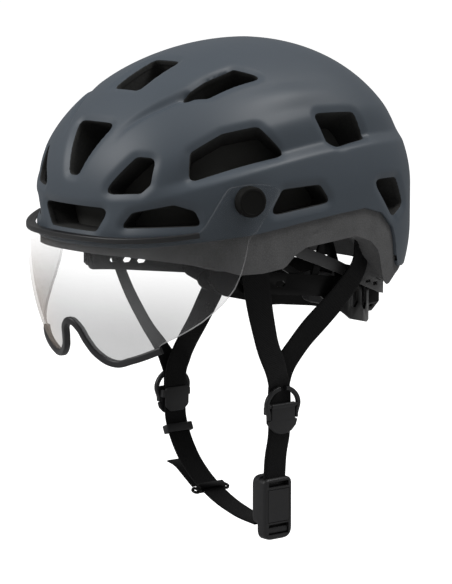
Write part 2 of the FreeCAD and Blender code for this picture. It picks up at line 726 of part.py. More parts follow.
def make_temple_band():
    ring = band_ring(0.0, band_thickness, -60, -15)
    end = 52.0
    near_z = band_centre(temple_y)
    far_z = band_centre(end)
    strip = side_prism([(temple_y, near_z - band_half_height), (end, far_z - band_half_height),
                        (end, far_z + band_half_height), (temple_y, near_z + band_half_height)])
    strip = strip.fuse(rod_x(band_half_height, -130, 130, temple_y, temple_z))
    holes = [cylinder_x(temple_pin_radius + running_gap, -130, 130, temple_y, temple_z)]
    for place in (-44, -30, -16):
        z = band_centre(place)
        holes.append(upright_outline([(place - 4.5, z - 2), (place + 4.5, z - 2), (place + 4.5, z + 2),
                                      (place - 4.5, z + 2)], 1.9, -130, 130))
    band = ring.common(strip).cut(holes)
    return band.common(box((20, -100, -80), (120, 100, 0)))


def make_temple_anchor():
    tab = upright_outline([(temple_y - 4, temple_z - 5), (temple_y + 4, temple_z - 5), (temple_y + 4, -6),
                           (temple_y - 4, -6)], 2.5, 70.8, 73.3)
    pin = rod_x(temple_pin_radius, 63.4, 71.5, temple_y, temple_z, 16)
    flange = rod_x(4.2, 62.2, 63.4, temple_y, temple_z, 16)
    return tab.fuse([pin, flange]).removeSplitter()


def make_cradle():
    ring = band_ring(cradle_inset, cradle_thickness, -80, 14)
    body = side_prism([(18, -38), (46, -36), (76, -35), (118, -40), (118, -72), (86, -74), (56, -67),
                       (38, -56), (24, -48)], 130.0, 4.0)
    hanger = side_prism([(10, -41), (peg_y - 5.5, -6), (peg_y + 5.5, -6), (48, -41)], 130.0, 3.0)
    hanger_window = side_prism([(17, -38), (peg_y, -14), (39, -38)], 130.0, 2.0)
    tab = side_prism([(peg_y - 5.5, -11), (peg_y + 5.5, -11),
                      (peg_y + 5.5, 11), (peg_y - 5.5, 11)], 130.0, 4.0)
    arm = side_prism([(-14, -24), (-10, -20.5), (18, -36), (16, -41)], 130.0, 1.5)
    outline = body.fuse([hanger.cut(hanger_window), tab, arm])
    swing = vec(0, peg_y - temple_y, peg_z - temple_z).normalize()
    slot = []
    for along, across in ((-8.2, -2.5), (8.2, -2.5), (8.2, 2.5), (-8.2, 2.5)):
        slot.append((peg_y - swing.z * along + swing.y * across, peg_z + swing.y * along + swing.z * across))
    slot = side_prism(slot, 130.0, 2.4)
    windows = [slot]
    for corners in ([(54, -44), (66, -43), (66, -60), (54, -58)], [(71, -43), (84, -43), (84, -64), (71, -62)],
                    [(34, -43), (48, -42), (48, -54), (38, -50)]):
        windows.append(side_prism(corners, 130.0, 3.5))
    cradle = ring.common(outline).cut(windows)
    plate_low = band_plan["rear"] - cradle_inset - cradle_thickness - 0.5
    plate = box((-housing_half_width, plate_low, dial_z - housing_half_height),
                (housing_half_width, housing_front, dial_z + housing_half_height))
    plate = plate.cut(band_outline(cradle_inset + cradle_thickness, -90).extrude(vec(0, 0, 110)))
    return cradle.fuse(plate).removeSplitter()


def housing_block(inset, front, back):
    half_w = housing_half_width - inset
    half_h = housing_half_height - inset
    corners = [vec(-half_w, front, dial_z - half_h), vec(half_w, front, dial_z - half_h),
               vec(half_w, front, dial_z + half_h), vec(-half_w, front, dial_z + half_h)]
    return Part.Face(eased_wire(corners, 8.0 - inset, 1)).extrude(vec(0, back - front, 0))


def make_dial_housing():
    block = housing_block(0.0, housing_front, housing_back)
    rear_edges = [edge for edge in block.Edges if edge.BoundBox.YMin > housing_back - 0.1]
    block = block.makeChamfer(1.6, rear_edges)
    pitch = gear_module * pinion_teeth / 2.0
    room_half = pitch + rack_dedendum + rack_bar + 0.3
    room = box((-housing_half_width + housing_wall, rack_front - 0.3, dial_z - room_half),
               (housing_half_width - housing_wall, rack_back + 0.3, dial_z + room_half))
    way = box((0, rack_front - 0.3, dial_z + pitch - rack_addendum - 0.3),
              (housing_half_width + 2, rack_back + 0.3, dial_z + room_half))
    other_way = box((-housing_half_width - 2, rack_front - 0.3, dial_z - room_half),
                    (0, rack_back + 0.3, dial_z - pitch + rack_addendum + 0.3))
    axle_bore = cylinder_y(axle_radius - 0.1 + running_gap, housing_front + 1.6, housing_back + 2, 0, dial_z)
    return block.cut([room, way, other_way, axle_bore])


def make_rack():
    pitch_radius = gear_module * pinion_teeth / 2.0
    pitch = math.pi * gear_module
    line = dial_z + pitch_radius
    slope = math.tan(math.radians(20))
    half_at_line = pitch / 4.0 - gear_backlash
    points = [(rack_inner_end, line + rack_dedendum + rack_bar), (rack_inner_end, line + rack_dedendum)]
    teeth = int((rack_outer_end - rack_inner_end - 16.0) / pitch)
    first = math.ceil((rack_inner_end + 2.0) / pitch - 0.5)
    for tooth in range(teeth):
        middle = (first + tooth + 0.5) * pitch
        root_half = half_at_line + rack_dedendum * slope
        tip_half = half_at_line - rack_addendum * slope
        points.append((middle - root_half, line + rack_dedendum))
        points.append((middle - tip_half, line - rack_addendum))
        points.append((middle + tip_half, line - rack_addendum))
        points.append((middle + root_half, line + rack_dedendum))
    points.append((rack_outer_end, line + rack_dedendum))
    points.append((rack_outer_end, line + rack_dedendum + rack_bar))
    corners = [vec(x, rack_front, z) for x, z in points]
    face = Part.Face(Part.makePolygon(corners + [corners[0]]))
    left = face.extrude(vec(0, rack_back - rack_front, 0))
    right = left.copy()
    right.rotate(vec(0, 0, dial_z), vec(0, 1, 0), 180)
    return left, right


def make_pinion():
    pitch_radius = gear_module * pinion_teeth / 2.0
    base_radius = pitch_radius * math.cos(math.radians(20))
    tip_radius = pitch_radius + 0.8 * gear_module
    root_radius = pitch_radius - 0.95 * gear_module
    step_angle = 2 * math.pi / pinion_teeth
    pitch_share = math.sqrt((pitch_radius / base_radius) ** 2 - 1)
    pitch_turn = pitch_share - math.atan(pitch_share)
    half_tooth = step_angle / 4.0 - gear_backlash / pitch_radius
    corners = []
    for tooth in range(pinion_teeth):
        middle = math.pi / 2 + tooth * step_angle
        flank = [(root_radius, half_tooth + pitch_turn + 0.02)]
        for radius in (pitch_radius, tip_radius):
            share = math.sqrt(max(0.0, (radius / base_radius) ** 2 - 1))
            turn = share - math.atan(share)
            flank.append((radius, half_tooth + pitch_turn - turn))
        for radius, turn in flank:
            corners.append((radius, middle - turn))
        for radius, turn in reversed(flank):
            corners.append((radius, middle + turn))
    points = [vec(r * math.cos(a), rack_front + 0.1, dial_z + r * math.sin(a)) for r, a in corners]
    face = Part.Face(Part.makePolygon(points + [points[0]]))
    gear = face.extrude(vec(0, rack_back - rack_front - 0.2, 0))
    bore = [vec(axle_radius * math.sin(turn), 100, dial_z + axle_radius * math.cos(turn))
            for turn in [2 * math.pi * (step + 0.5) / 12 for step in range(12)]]
    return gear.cut(Part.Face(closed_wire(bore)).extrude(vec(0, 25, 0)))


def dial_ring(radius, grip_depth, y):
    points = []
    for place in range(2 * dial_grips):
        angle = 2 * math.pi * place / (2 * dial_grips)
        reach = radius - (grip_depth if place % 2 == 0 else 0.0)
        points.append(vec(reach * math.sin(angle), y, dial_z + reach * math.cos(angle)))
    return points


def make_dial():
    rear = housing_back + dial_thickness
    rings = [dial_ring(dial_radius, 0.9, housing_back + 0.4), dial_ring(dial_radius, 0.9, rear - 1.4),
             dial_ring(dial_radius - 1.2, 0.7, rear)]
    knob = ring_loft(rings)
    dish = [dial_ring(10.5, 0.0, rear - 1.2), dial_ring(11.3, 0.0, rear + 1.0)]
    knob = knob.cut(ring_loft(dish))
    axle = cylinder_y(axle_radius - 0.1, housing_front + 1.8, housing_back + 1.0, 0, dial_z)
    return knob.fuse(axle).removeSplitter()


def make_belt():
    middle = spline([vec(x, y, -75) for x, y in belt_plan])
    first, last = middle.FirstParameter, middle.LastParameter
    sides = []
    for shift in (belt_thickness / 2, -belt_thickness / 2):
        points = []
        for step in range(belt_steps + 1):
            place = first + (last - first) * step / belt_steps
            along = middle.tangent(place)[0]
            points.append(middle.value(place) + vec(along.y, -along.x, 0) * shift)
        sides.append(points)
    wall = Part.Face(closed_wire(sides[0] + list(reversed(sides[1])))).extrude(vec(0, 0, 75))
    upper = [(y, z + belt_height / 2) for y, z in belt_heights]
    lower = [(y, z - belt_height / 2) for y, z in belt_heights]
    strip = wall.common(side_prism(upper + list(reversed(lower))))
    slots = []
    for place, z in ((80, -43.7), (70, -40.6), (60, -37.3)):
        slots.append(side_prism([(place - 3, z - 1.2), (place + 3, z - 1.2), (place + 3, z + 1.4),
                                 (place - 3, z + 1.4)], 130.0))
    return strip.cut(slots)


def make_nape_pad():
    ring = band_ring(cradle_inset + cradle_thickness + 0.2, 4.0, -72, -42)
    corners = [vec(-30, 60, -70), vec(30, 60, -70), vec(30, 60, -46), vec(-30, 60, -46)]
    return ring.common(Part.Face(eased_wire(corners, 7)).extrude(vec(0, 60, 0)))


def make_peg():
    shank = rod_x(peg_radius, 72.6, 92.0, peg_y, peg_z, peg_sides)
    return shank.fuse(rod_x(peg_head_radius, 71.6, 72.8, peg_y, peg_z, peg_sides))


def save(name, shape):
    shape.exportStep("parts/" + name + ".step")
    solids = len(shape.Solids)
    print(name, "solids", solids, "valid", shape.isValid(), "volume %.0f" % shape.Volume)


def main():
    os.makedirs("parts", exist_ok=True)
    vents = all_vents()
    shell, liner = make_shell_and_liner(vents)
    save("outer_shell", shell)
    save("foam_liner", liner)
    brow_pad, crown_pads, side_pads = make_pads()
    save("brow_pad", brow_pad)
    save("crown_pads", crown_pads)
    save("side_pads", side_pads)

    lens = make_lens()
    save("visor_lens", lens)
    save("visor_nose_seal", make_nose_seal(lens))
    save("visor_brow_seal", make_brow_seal(lens))
    socket, washer, screw, cap = make_pivot_set(lens)
    for name, shape in (("pivot_socket", socket), ("friction_washer", washer), ("pivot_screw", screw),
                        ("pivot_cap", cap)):
        save(name + "_left", shape)
        save(name + "_right", mirrored(shape))

    save("strap_anchors", Part.makeCompound([strap_anchor(strap) for strap in straps.values()]))
    for name, strap in straps.items():
        x, y, z = strap["path"][0]
        webbing = strap_loft([(x, y, z + 1.0)] + strap["path"][1:], strap["facing"], (1, 0, 0))
        save(name, webbing.cut(strap_anchor(strap)))
    frame, flap = make_divider(divider_left_hinge)
    save("divider_frame_left", frame)
    save("divider_flap_left", flap)
    frame, flap = make_divider(divider_right_hinge)
    save("divider_frame_right", mirrored(frame))
    save("divider_flap_right", mirrored(flap))
    save("buckle_strap", flat_strap(buckle_strap_path, 3.0))
    save("chin_strap", flat_strap(chin_strap_path, strap_thickness))
    save("strap_tail", flat_strap(tail_path, tail_thickness))
    save("strap_keeper", make_keeper())
    save("length_adjuster", make_adjuster())
    outer, magnet, inner, inner_magnet = make_buckle()
    save("buckle_outer", outer)
    save("buckle_magnet", magnet)
    save("buckle_inner", inner)
    save("catch_magnet", inner_magnet)

    band = make_temple_band()
    anchor = make_temple_anchor()
    peg = make_peg()
    for name, shape in (("temple_band", band), ("temple_anchor", anchor), ("hanger_peg", peg),
                        ("tension_belt", make_belt())):
        save(name + "_left", shape)
        save(name + "_right", mirrored(shape))
    save("nape_cradle", make_cradle())
    save("nape_pad", make_nape_pad())
    save("dial_housing", make_dial_housing())
    save("fit_dial", make_dial())
    save("dial_pinion", make_pinion())
    left_rack, right_rack = make_rack()
    save("rack_left", left_rack)
    save("rack_right", right_rack)


main()
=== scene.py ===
import math
import bpy
import bmesh
import numpy as np
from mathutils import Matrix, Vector


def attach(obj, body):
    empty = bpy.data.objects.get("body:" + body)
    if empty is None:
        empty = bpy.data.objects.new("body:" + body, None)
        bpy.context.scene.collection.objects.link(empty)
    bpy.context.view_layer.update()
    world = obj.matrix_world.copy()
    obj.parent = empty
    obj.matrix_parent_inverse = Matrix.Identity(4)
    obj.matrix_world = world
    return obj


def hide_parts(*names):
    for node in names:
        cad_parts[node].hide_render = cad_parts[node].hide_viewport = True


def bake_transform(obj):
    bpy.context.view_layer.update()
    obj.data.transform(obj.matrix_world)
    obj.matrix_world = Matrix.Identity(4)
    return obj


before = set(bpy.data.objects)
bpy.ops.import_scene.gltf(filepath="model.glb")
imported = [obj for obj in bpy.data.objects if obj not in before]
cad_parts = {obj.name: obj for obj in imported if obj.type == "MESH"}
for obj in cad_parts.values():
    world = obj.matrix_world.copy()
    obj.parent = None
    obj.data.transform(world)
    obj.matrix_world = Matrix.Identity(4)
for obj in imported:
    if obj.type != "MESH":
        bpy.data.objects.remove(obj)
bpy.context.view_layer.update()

# Cycling helmet with a tilting visor. Shapes are worked in millimetres and turned into metres when a piece
# is finished.

# camera, floor and lights
studio = {
    "cameraPlace": (1.6072, -1.3015, 0.2511),
    "cameraTarget": (0.0, 0.0, -0.0506),
    "lens": 180.4,
    "floorHeight": -0.262,
    "skyStrength": 0.30,
    "floorColor": 0.45,
    "floorGlow": 0.9,
    "lamps": {"keyLight": ((-0.9, -2.0, 1.7), 1.3, 54.0), "topLight": ((0.2, 0.1, 2.3), 1.6, 8.0),
              "rimLight": ((0.9, 0.9, 1.9), 0.8, 30.0)},
    "lampTarget": (0, 0, -0.03),
}


# feeds a node's sockets from other sockets or with constants
def feed(tree, node, inputs):
    for key, value in inputs.items():
        if isinstance(value, bpy.types.NodeSocket):
            tree.links.new(value, node.inputs[key])
        else:
            node.inputs[key].default_value = value


def addNode(tree, kind, inputs=None, **settings):
    node = tree.nodes.new("ShaderNode" + kind)
    for key, value in settings.items():
        setattr(node, key, value)
    feed(tree, node, inputs or {})
    return node


def maths(tree, operation, *values):
    return addNode(tree, "Math", dict(enumerate(values)), operation=operation).outputs[0]


def scaled(tree, color, factor):
    return addNode(tree, "VectorMath", {0: color, "Scale": factor}, operation="SCALE").outputs[0]


def newGroup(name, inputs, outputs):
    tree = bpy.data.node_groups.new(name, "ShaderNodeTree")
    for label, value in inputs.items():
        kind = "NodeSocketColor" if isinstance(value, tuple) else "NodeSocketFloat"
        tree.interface.new_socket(name=label, in_out="INPUT", socket_type=kind).default_value = value
    for label in outputs:
        kind = "NodeSocketColor" if label == "Color" else "NodeSocketFloat"
        tree.interface.new_socket(name=label, in_out="OUTPUT", socket_type=kind)
    return tree, tree.nodes.new("NodeGroupInput").outputs, tree.nodes.new("NodeGroupOutput")


# fine moulded texture with slow colour drift, for shell, plastic and rubber
def buildGrain():
    tree, start, end = newGroup(
        "mouldedGrain", {"Fine Scale": 900.0, "Slow Scale": 18.0, "Tint": (0.1, 0.1, 0.1, 1), "Drift": 0.12,
                         "Roughness": 0.5}, ("Color", "Roughness", "Height"))
    place = addNode(tree, "TexCoord").outputs["Object"]
    fine = addNode(tree, "TexNoise", {"Vector": place, "Scale": start["Fine Scale"], "Detail": 2.0})
    slow = addNode(tree, "TexNoise", {"Vector": place, "Scale": start["Slow Scale"], "Detail": 3.0})
    spread = maths(tree, "MULTIPLY", maths(tree, "SUBTRACT", slow.outputs["Fac"], 0.5), start["Drift"])
    gain = maths(tree, "MULTIPLY_ADD", spread, 2.0, 1.0)
    feed(tree, end, {"Color": scaled(tree, start["Tint"], gain), "Height": fine.outputs["Fac"],
                     "Roughness": maths(tree, "ADD", start["Roughness"], spread)})
    return tree


# plain-weave webbing and knitted cloth, on the piece's own UV map in metres
def buildWeave():
    tree, start, end = newGroup(
        "wovenCloth", {"Warp Scale": 900.0, "Weft Scale": 500.0, "Tint": (0.02, 0.02, 0.02, 1), "Lift": 1.6},
        ("Color", "Height"))
    axes = addNode(tree, "SeparateXYZ", {0: addNode(tree, "TexCoord").outputs["UV"]}).outputs
    waves = [maths(tree, "SINE", maths(tree, "MULTIPLY", axes[axis], start[label]))
             for axis, label in ((0, "Weft Scale"), (1, "Warp Scale"))]
    height = maths(tree, "MULTIPLY_ADD", maths(tree, "MULTIPLY", *waves), 0.5, 0.5)
    gain = maths(tree, "MULTIPLY_ADD", height, start["Lift"], 0.55)
    feed(tree, end, {"Height": height, "Color": scaled(tree, start["Tint"], gain)})
    return tree


# round cells pressed together, as in moulded bead foam
def buildBeads():
    tree, start, end = newGroup("beadFoam", {"Bead Scale": 330.0, "Tint": (0.05, 0.05, 0.05, 1)},
                                ("Color", "Height"))
    place = addNode(tree, "TexCoord").outputs["Object"]
    cells = addNode(tree, "TexVoronoi", {"Vector": place, "Scale": start["Bead Scale"]},
                    feature="DISTANCE_TO_EDGE")
    seam = addNode(tree, "MapRange", {"From Max": 0.16, "To Min": 0.78,
                                      "Value": cells.outputs["Distance"]}).outputs[0]
    cloud = addNode(tree, "TexNoise", {"Vector": place, "Scale": 70.0, "Detail": 4.0})
    shade = maths(tree, "MULTIPLY", seam, maths(tree, "MULTIPLY_ADD", cloud.outputs["Fac"], 0.7, 0.65))
    feed(tree, end, {"Color": scaled(tree, start["Tint"], shade), "Height": seam})
    return tree


grainGroup = buildGrain()
weaveGroup = buildWeave()
beadGroup = buildBeads()


def newMaterial(name):
    material = bpy.data.materials.new(name)
    material.use_nodes = True
    return material, material.node_tree, material.node_tree.nodes["Principled BSDF"]


def bumped(tree, height, strength, distance):
    return addNode(tree, "Bump", {"Strength": strength, "Distance": distance, "Height": height}).outputs[0]


def grainMaterial(name, **look):
    material, tree, shader = newMaterial(name)
    grain = addNode(tree, "Group", node_tree=grainGroup)
    feed(tree, grain, {"Fine Scale": look.get("fine", 900.0), "Slow Scale": 18.0, "Tint": (*look["color"], 1),
                       "Drift": look.get("drift", 0.1), "Roughness": look["roughness"]})
    feed(tree, shader, {"Base Color": grain.outputs["Color"], "Roughness": grain.outputs["Roughness"],
                        "Normal": bumped(tree, grain.outputs["Height"], look.get("bump", 0.15), 0.0002),
                        "Metallic": look.get("metallic", 0.0),
                        "Specular IOR Level": look.get("specular", 0.4),
                        "Coat Weight": look.get("coat", 0.0),
                        "Coat Roughness": look.get("coatRoughness", 0.3)})
    return material


def clothMaterial(name, **look):
    material, tree, shader = newMaterial(name)
    weave = addNode(tree, "Group", node_tree=weaveGroup)
    feed(tree, weave, {"Warp Scale": look["warp"], "Weft Scale": look["weft"], "Tint": (*look["color"], 1),
                       "Lift": look.get("lift", 1.2)})
    feed(tree, shader, {"Base Color": weave.outputs["Color"],
                        "Normal": bumped(tree, weave.outputs["Height"], 0.5, 0.0004),
                        "Roughness": look["roughness"], "Specular IOR Level": look.get("specular", 0.3),
                        "Sheen Weight": look["sheen"], "Sheen Roughness": 0.5})
    return material


def foamMaterial(name, **look):
    material, tree, shader = newMaterial(name)
    beads = addNode(tree, "Group", node_tree=beadGroup)
    feed(tree, beads, {"Bead Scale": look["scale"], "Tint": (*look["color"], 1)})
    feed(tree, shader, {"Base Color": beads.outputs["Color"], "Roughness": look["roughness"],
                        "Normal": bumped(tree, beads.outputs["Height"], 0.2, 0.0002),
                        "Specular IOR Level": 0.3})
    return material


# where the lens's masks start and are full: denser haze downwards (painted shade towards the bottom), a
# lighter tone forwards (painted highlight in the middle) and a warm tint to the wearer's right
lensFade = {"Z": (0.004, -0.070), "Y": (-0.084, -0.130), "X": (0.0, -0.060)}


# clear sheet with a silver tint whose haze grows downwards and to the front; the denser haze lower down is
# painted shade and the lighter tone at the front a painted highlight
def lensMaterial(name, **look):
    material, tree, shader = newMaterial(name)
    axes = addNode(tree, "SeparateXYZ", {0: addNode(tree, "TexCoord").outputs["Object"]}).outputs
    down, forward, across = [
        addNode(tree, "MapRange", {"Value": axes[axis], "From Min": low, "From Max": high},
                interpolation_type="SMOOTHSTEP").outputs["Result"] for axis, (low, high) in lensFade.items()]
    side, front, warm = [(*look[key], 1) for key in ("side", "front", "warm")]
    tone = addNode(tree, "Mix", data_type="RGBA")
    feed(tree, tone, {0: forward, 6: side, 7: front})
    warmer = addNode(tree, "Mix", data_type="RGBA")
    feed(tree, warmer, {0: across, 6: tone.outputs[2], 7: warm})
    hazeWithPaintedLight = addNode(tree, "Group", node_tree=grainGroup)
    feed(tree, hazeWithPaintedLight, {"Fine Scale": 60.0, "Slow Scale": 9.0, "Drift": 0.10, "Roughness": look["roughness"],
                      "Tint": warmer.outputs[2]})
    more = maths(tree, "MULTIPLY_ADD", forward, look["frontAlpha"], look["sideAlpha"])
    feed(tree, shader, {"Base Color": hazeWithPaintedLight.outputs["Color"], "Roughness": hazeWithPaintedLight.outputs["Roughness"],
                        "Alpha": maths(tree, "MULTIPLY_ADD", down, more, look["topAlpha"]),
                        "Specular IOR Level": look["specular"], "Coat Weight": look["coat"],
                        "Coat Roughness": 0.05})
    return material


finishes = {
    "shell": grainMaterial("shellPaint", color=(0.050, 0.062, 0.076), roughness=0.5, fine=1400.0,
        specular=0.34, bump=0.05, drift=0.08, coat=0.05, coatRoughness=0.4),
    "foam": foamMaterial("beadFoam", color=(0.098, 0.098, 0.099), roughness=0.75, scale=620.0),
    # the liner's foam drawn darker: painted shade on the vent walls and inside the hollow
    "paintedShadeFoam": foamMaterial("paintedShadeFoam", color=(0.026, 0.026, 0.025), roughness=0.9, scale=330.0),
    # dark sheet behind the vents, painted shade
    "net": grainMaterial("paintedShadeSheet", color=(0.055, 0.055, 0.052), roughness=0.9, fine=2200.0,
        specular=0.1, bump=0.4),
    "pad": clothMaterial("padKnit", color=(0.016, 0.016, 0.017), roughness=0.9, warp=5200.0, weft=5200.0,
        sheen=0.35),
    # the lens's lighter front tone is a painted highlight, its denser lower haze painted shade
    "lens": lensMaterial("visorLens", side=(0.12, 0.12, 0.123), front=(0.28, 0.282, 0.286),
        warm=(0.44, 0.33, 0.25), roughness=0.3, topAlpha=0.03, sideAlpha=0.30, frontAlpha=0.08,
        specular=0.2, coat=0.15),
    "lensEdge": lensMaterial("visorEdge", side=(0.9, 0.9, 0.9), front=(0.5, 0.5, 0.5),
        warm=(0.5, 0.5, 0.5), roughness=0.3, topAlpha=0.05, sideAlpha=0.75, frontAlpha=-0.3, specular=0.4,
        coat=0.0),
    "seal": grainMaterial("sealRubber", color=(0.012, 0.012, 0.013), roughness=0.42, fine=700.0),
    "plastic": grainMaterial("blackNylon", color=(0.0035, 0.0035, 0.0035), roughness=0.32, fine=1100.0,
        specular=0.12, bump=0.08),
    "cap": grainMaterial("capNylon", color=(0.009, 0.009, 0.0085), roughness=0.6, fine=1500.0,
        specular=0.05),
    "hardware": grainMaterial("greyNylon", color=(0.017, 0.017, 0.018), roughness=0.42, fine=1300.0,
        bump=0.2, specular=0.3),
    "belt": grainMaterial("beltNylon", color=(0.05, 0.05, 0.051), roughness=0.45, fine=1000.0),
    "webbing": clothMaterial("webbing", color=(0.0045, 0.0045, 0.0047), roughness=0.7, warp=4200.0,
        weft=2600.0, lift=1.0, sheen=0.02, specular=0.12),
    "steel": grainMaterial("steel", color=(0.45, 0.45, 0.46), roughness=0.35, metallic=1.0, fine=400.0,
        bump=0.05),
}
print("materials ready")


def finishPiece(bm, name, finish, body, stands=(), sharp=35.0, recalc=True, extra=()):
    if recalc:
        bmesh.ops.recalc_face_normals(bm, faces=bm.faces)
    bmesh.ops.scale(bm, vec=(0.001, 0.001, 0.001), verts=bm.verts)
    mesh = bpy.data.meshes.new(name)
    bm.to_mesh(mesh)
    bm.free()
    mesh.materials.append(finishes[finish])
    for other in extra:
        mesh.materials.append(finishes[other])
    mesh.shade_smooth()
    mesh.set_sharp_from_angle(angle=math.radians(sharp))
    piece = bpy.data.objects.new(name, mesh)
    bpy.context.scene.collection.objects.link(piece)
    if body:
        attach(piece, body)
    if stands:
        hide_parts(*stands)
    return piece


def smoothStep(value, low=0.0, high=1.0):
    share = np.clip((value - low) / (high - low), 0.0, 1.0)
    return share * share * (3.0 - 2.0 * share)


def vertexArray(bm):
    bm.verts.ensure_lookup_table()
    return np.array([vert.co[:] for vert in bm.verts])


def placeVertices(verts, places):
    for vert, place in zip(verts, places):
        vert.co = place


# outline with each corner eased, as points in its own plane
def easeOutline(corners, radius, steps=6):
    corners = [np.array(corner, float) for corner in corners]
    points = []
    for index, corner in enumerate(corners):
        back = corners[index - 1] - corner
        ahead = corners[(index + 1) % len(corners)] - corner
        cosine = back.dot(ahead) / (np.linalg.norm(back) * np.linalg.norm(ahead))
        turn = math.acos(max(-1.0, min(1.0, cosine)))
        reach = min(radius / math.tan(turn / 2), 0.45 * np.linalg.norm(back), 0.45 * np.linalg.norm(ahead))
        start = corner + back / np.linalg.norm(back) * reach
        end = corner + ahead / np.linalg.norm(ahead) * reach
        for step in range(steps + 1):
            share = step / steps
            near = start + (corner - start) * share
            far = corner + (end - corner) * share
            points.append(near + (far - near) * share)
    return np.array(points)


# distance to a closed outline (negative inside) and the direction away from it
def outlineDistance(points, outline):
    best = np.full(len(points), 1e9)
    away = np.zeros((len(points), 2))
    inside = np.zeros(len(points), bool)
    for index in range(len(outline)):
        a, b = outline[index], outline[(index + 1) % len(outline)]
        run = b - a
        length = run.dot(run)
        if length < 1e-9:
            continue
        share = np.clip(((points - a) @ run) / length, 0.0, 1.0)
        gap = points - (a + share[:, None] * run)
        size = np.linalg.norm(gap, axis=1)
        closer = size < best
        best = np.where(closer, size, best)
        away[closer] = gap[closer] / np.maximum(size[closer], 1e-9)[:, None]
        crosses = (a[1] > points[:, 1]) != (b[1] > points[:, 1])
        with np.errstate(divide="ignore", invalid="ignore"):
            meet = (b[0] - a[0]) * (points[:, 1] - a[1]) / (b[1] - a[1]) + a[0]
        inside ^= crosses & (points[:, 0] < meet)
    sign = np.where(inside, -1.0, 1.0)
    return best * sign, away * sign[:, None]


shellDome = {
    "halfWidth": 108.0, "front": 137.0, "rear": 127.0, "top": 131.0, "waist": 27.0, "frontPower": 2.4,
    "rearPower": 2.8, "sideRound": 1.97, "rearRound": 1.9, "crownShift": 15.0, "tuck": 6e-5}
cavityDome = {
    "halfWidth": 83.0, "front": 114.0, "rear": 104.0, "top": 107.0, "waist": 20.0, "frontPower": 2.4,
    "rearPower": 2.8, "sideRound": 2.0, "rearRound": 2.0, "crownShift": 10.0, "tuck": 0.0}
shellLook = {
    "segments": 420, "lowRows": 26, "highRows": 116, "beamRelief": 5.2, "wall": 1.5,
    "lipDepth": 1.9, "lipWidth": 5.2, "lipPower": 1.35,
    "beamLine": (57.5, 0.115, -0.00096), "beamSide": (0.42, 0.8), "beamStart": 1.2, "beamRise": 8.6,
    "beamFade": (4.0, 25.0), "ventAim": (0, 5, 12.0), "ventGrow": 1.7, "ventCorner": 5.2,
    "ventLips": [(0.3, 0.08), (0.35, 0.3), (0.9, 0.1), (2.2, 0.05)],
    "rimRoll": [(0.25, 0.35), (0.9, 0.15), (1.2, -0.9)],
}
shellEdge = [(-150, -4), (-134, -4), (-121, -2.7), (-112, -1.2), (-103, 0.2), (-91, 1.8), (-77, 3.4), (-60, 5),
             (-22, 10.9), (13, 14.9), (38, 17.0), (56, 12.1), (69, 0.8), (73, -8), (76.5, -22.8), (81, -28),
             (90, -29), (140, -28)]
linerEdge = [(-150, -9), (-125, -10), (-105, -13), (-85, -16.5), (-67, -22.3), (-50, -22), (-33, -19.4),
             (-24.5, -11.4), (-15, -6.6), (31.5, -2.3), (46, -7.3), (55, -15.2), (59, -28),
             (62, -35), (65, -38.6), (68.5, -40.4), (73, -40.4), (77, -38.0), (84, -34.5), (95, -32),
             (140, -30)]
vents = {
    "brow": [(-35.5, -133, 22), (35.5, -133, 22), (24, -135.5, 6), (-24, -135.5, 6)],
    "front": [(-19, -115, 77), (19, -115, 77), (5, -134, 44), (-5, -134, 44)],
    "crown": [(-13.5, -54, 117), (13.5, -54, 117), (13.5, -88, 100), (-13.5, -88, 100)],
    "crownRear": [(-15, 76, 115), (15, 76, 115), (12, 42, 126), (-12, 42, 126)],
    "rear": [(-17, 112, 78), (17, 112, 78), (25, 125, 50), (-25, 125, 50)],
}
sideVents = {
    "browSide": [(47.6, -128.7, 9.9), (55.3, -124.8, 20.3), (76.2, -108.1, 25.9), (84.5, -98, 22),
                 (87, -94.5, 12.5)],
    "frontDiamond": [(33.1, -133.3, 32.5), (51, -119.1, 56.7), (61.7, -112.7, 56), (63, -118.2, 40.3),
                     (58.5, -122, 34.6)],
    "crownSide": [(50.2, -80.4, 95), (50, -58.9, 106.3), (51.5, -36.7, 113.2), (64.9, -21.8, 107.6),
                  (63.8, -45.5, 103.1), (62.2, -65.1, 96.3)],
    "bigSide": [(82.4, -97.6, 43.2), (78, -92.4, 61.4), (83.4, -71, 72.5), (89.5, -46.5, 76.5),
                (101, -31.5, 59)],
    "rearUpper": [(90.7, 5.1, 83.2), (89.6, 42.4, 82.6), (97.5, 50.5, 67.2), (101.6, 17.5, 61.8)],
    "lowSide": [(104.9, -44.8, 17.5), (106, -34.6, 34.2), (107.6, -5, 35.6), (108, 4.2, 23.5)],
    "rearSide": [(105, 48.7, 34.8), (98, 75.2, 34.3), (93.3, 86.1, 15.6), (100.1, 70.3, 8.9)],
    "rearCorner": [(34, 120, 36), (64, 107, 33), (68, 107, 10), (38, 121, 12)],
}
# soft grooves pressed in the shell: path, half width at its start and end, depth, share of the path
# over which it sinks in
grooves = [
    ([(27.5, -124, 62), (31.9, -113.6, 75.4), (38.9, -101.9, 84.7), (45.6, -90, 91.3), (51.5, -77, 96.5)],
     3.2, 7.5, 3.4, 0.8),
    ([(53, -76, 98), (51, -58.9, 107), (52, -38, 114)], 7.5, 3.0, 1.5, 0.01),
]
# soft raised lines: path, half width, height
ridges = [
    ([(70, -86, 74), (74.4, -65.5, 86.5), (79.5, -39, 91.5), (80.2, -8.6, 95.5), (79.8, 23.4, 96),
      (76, 52, 92)], 13.0, 1.3),
]


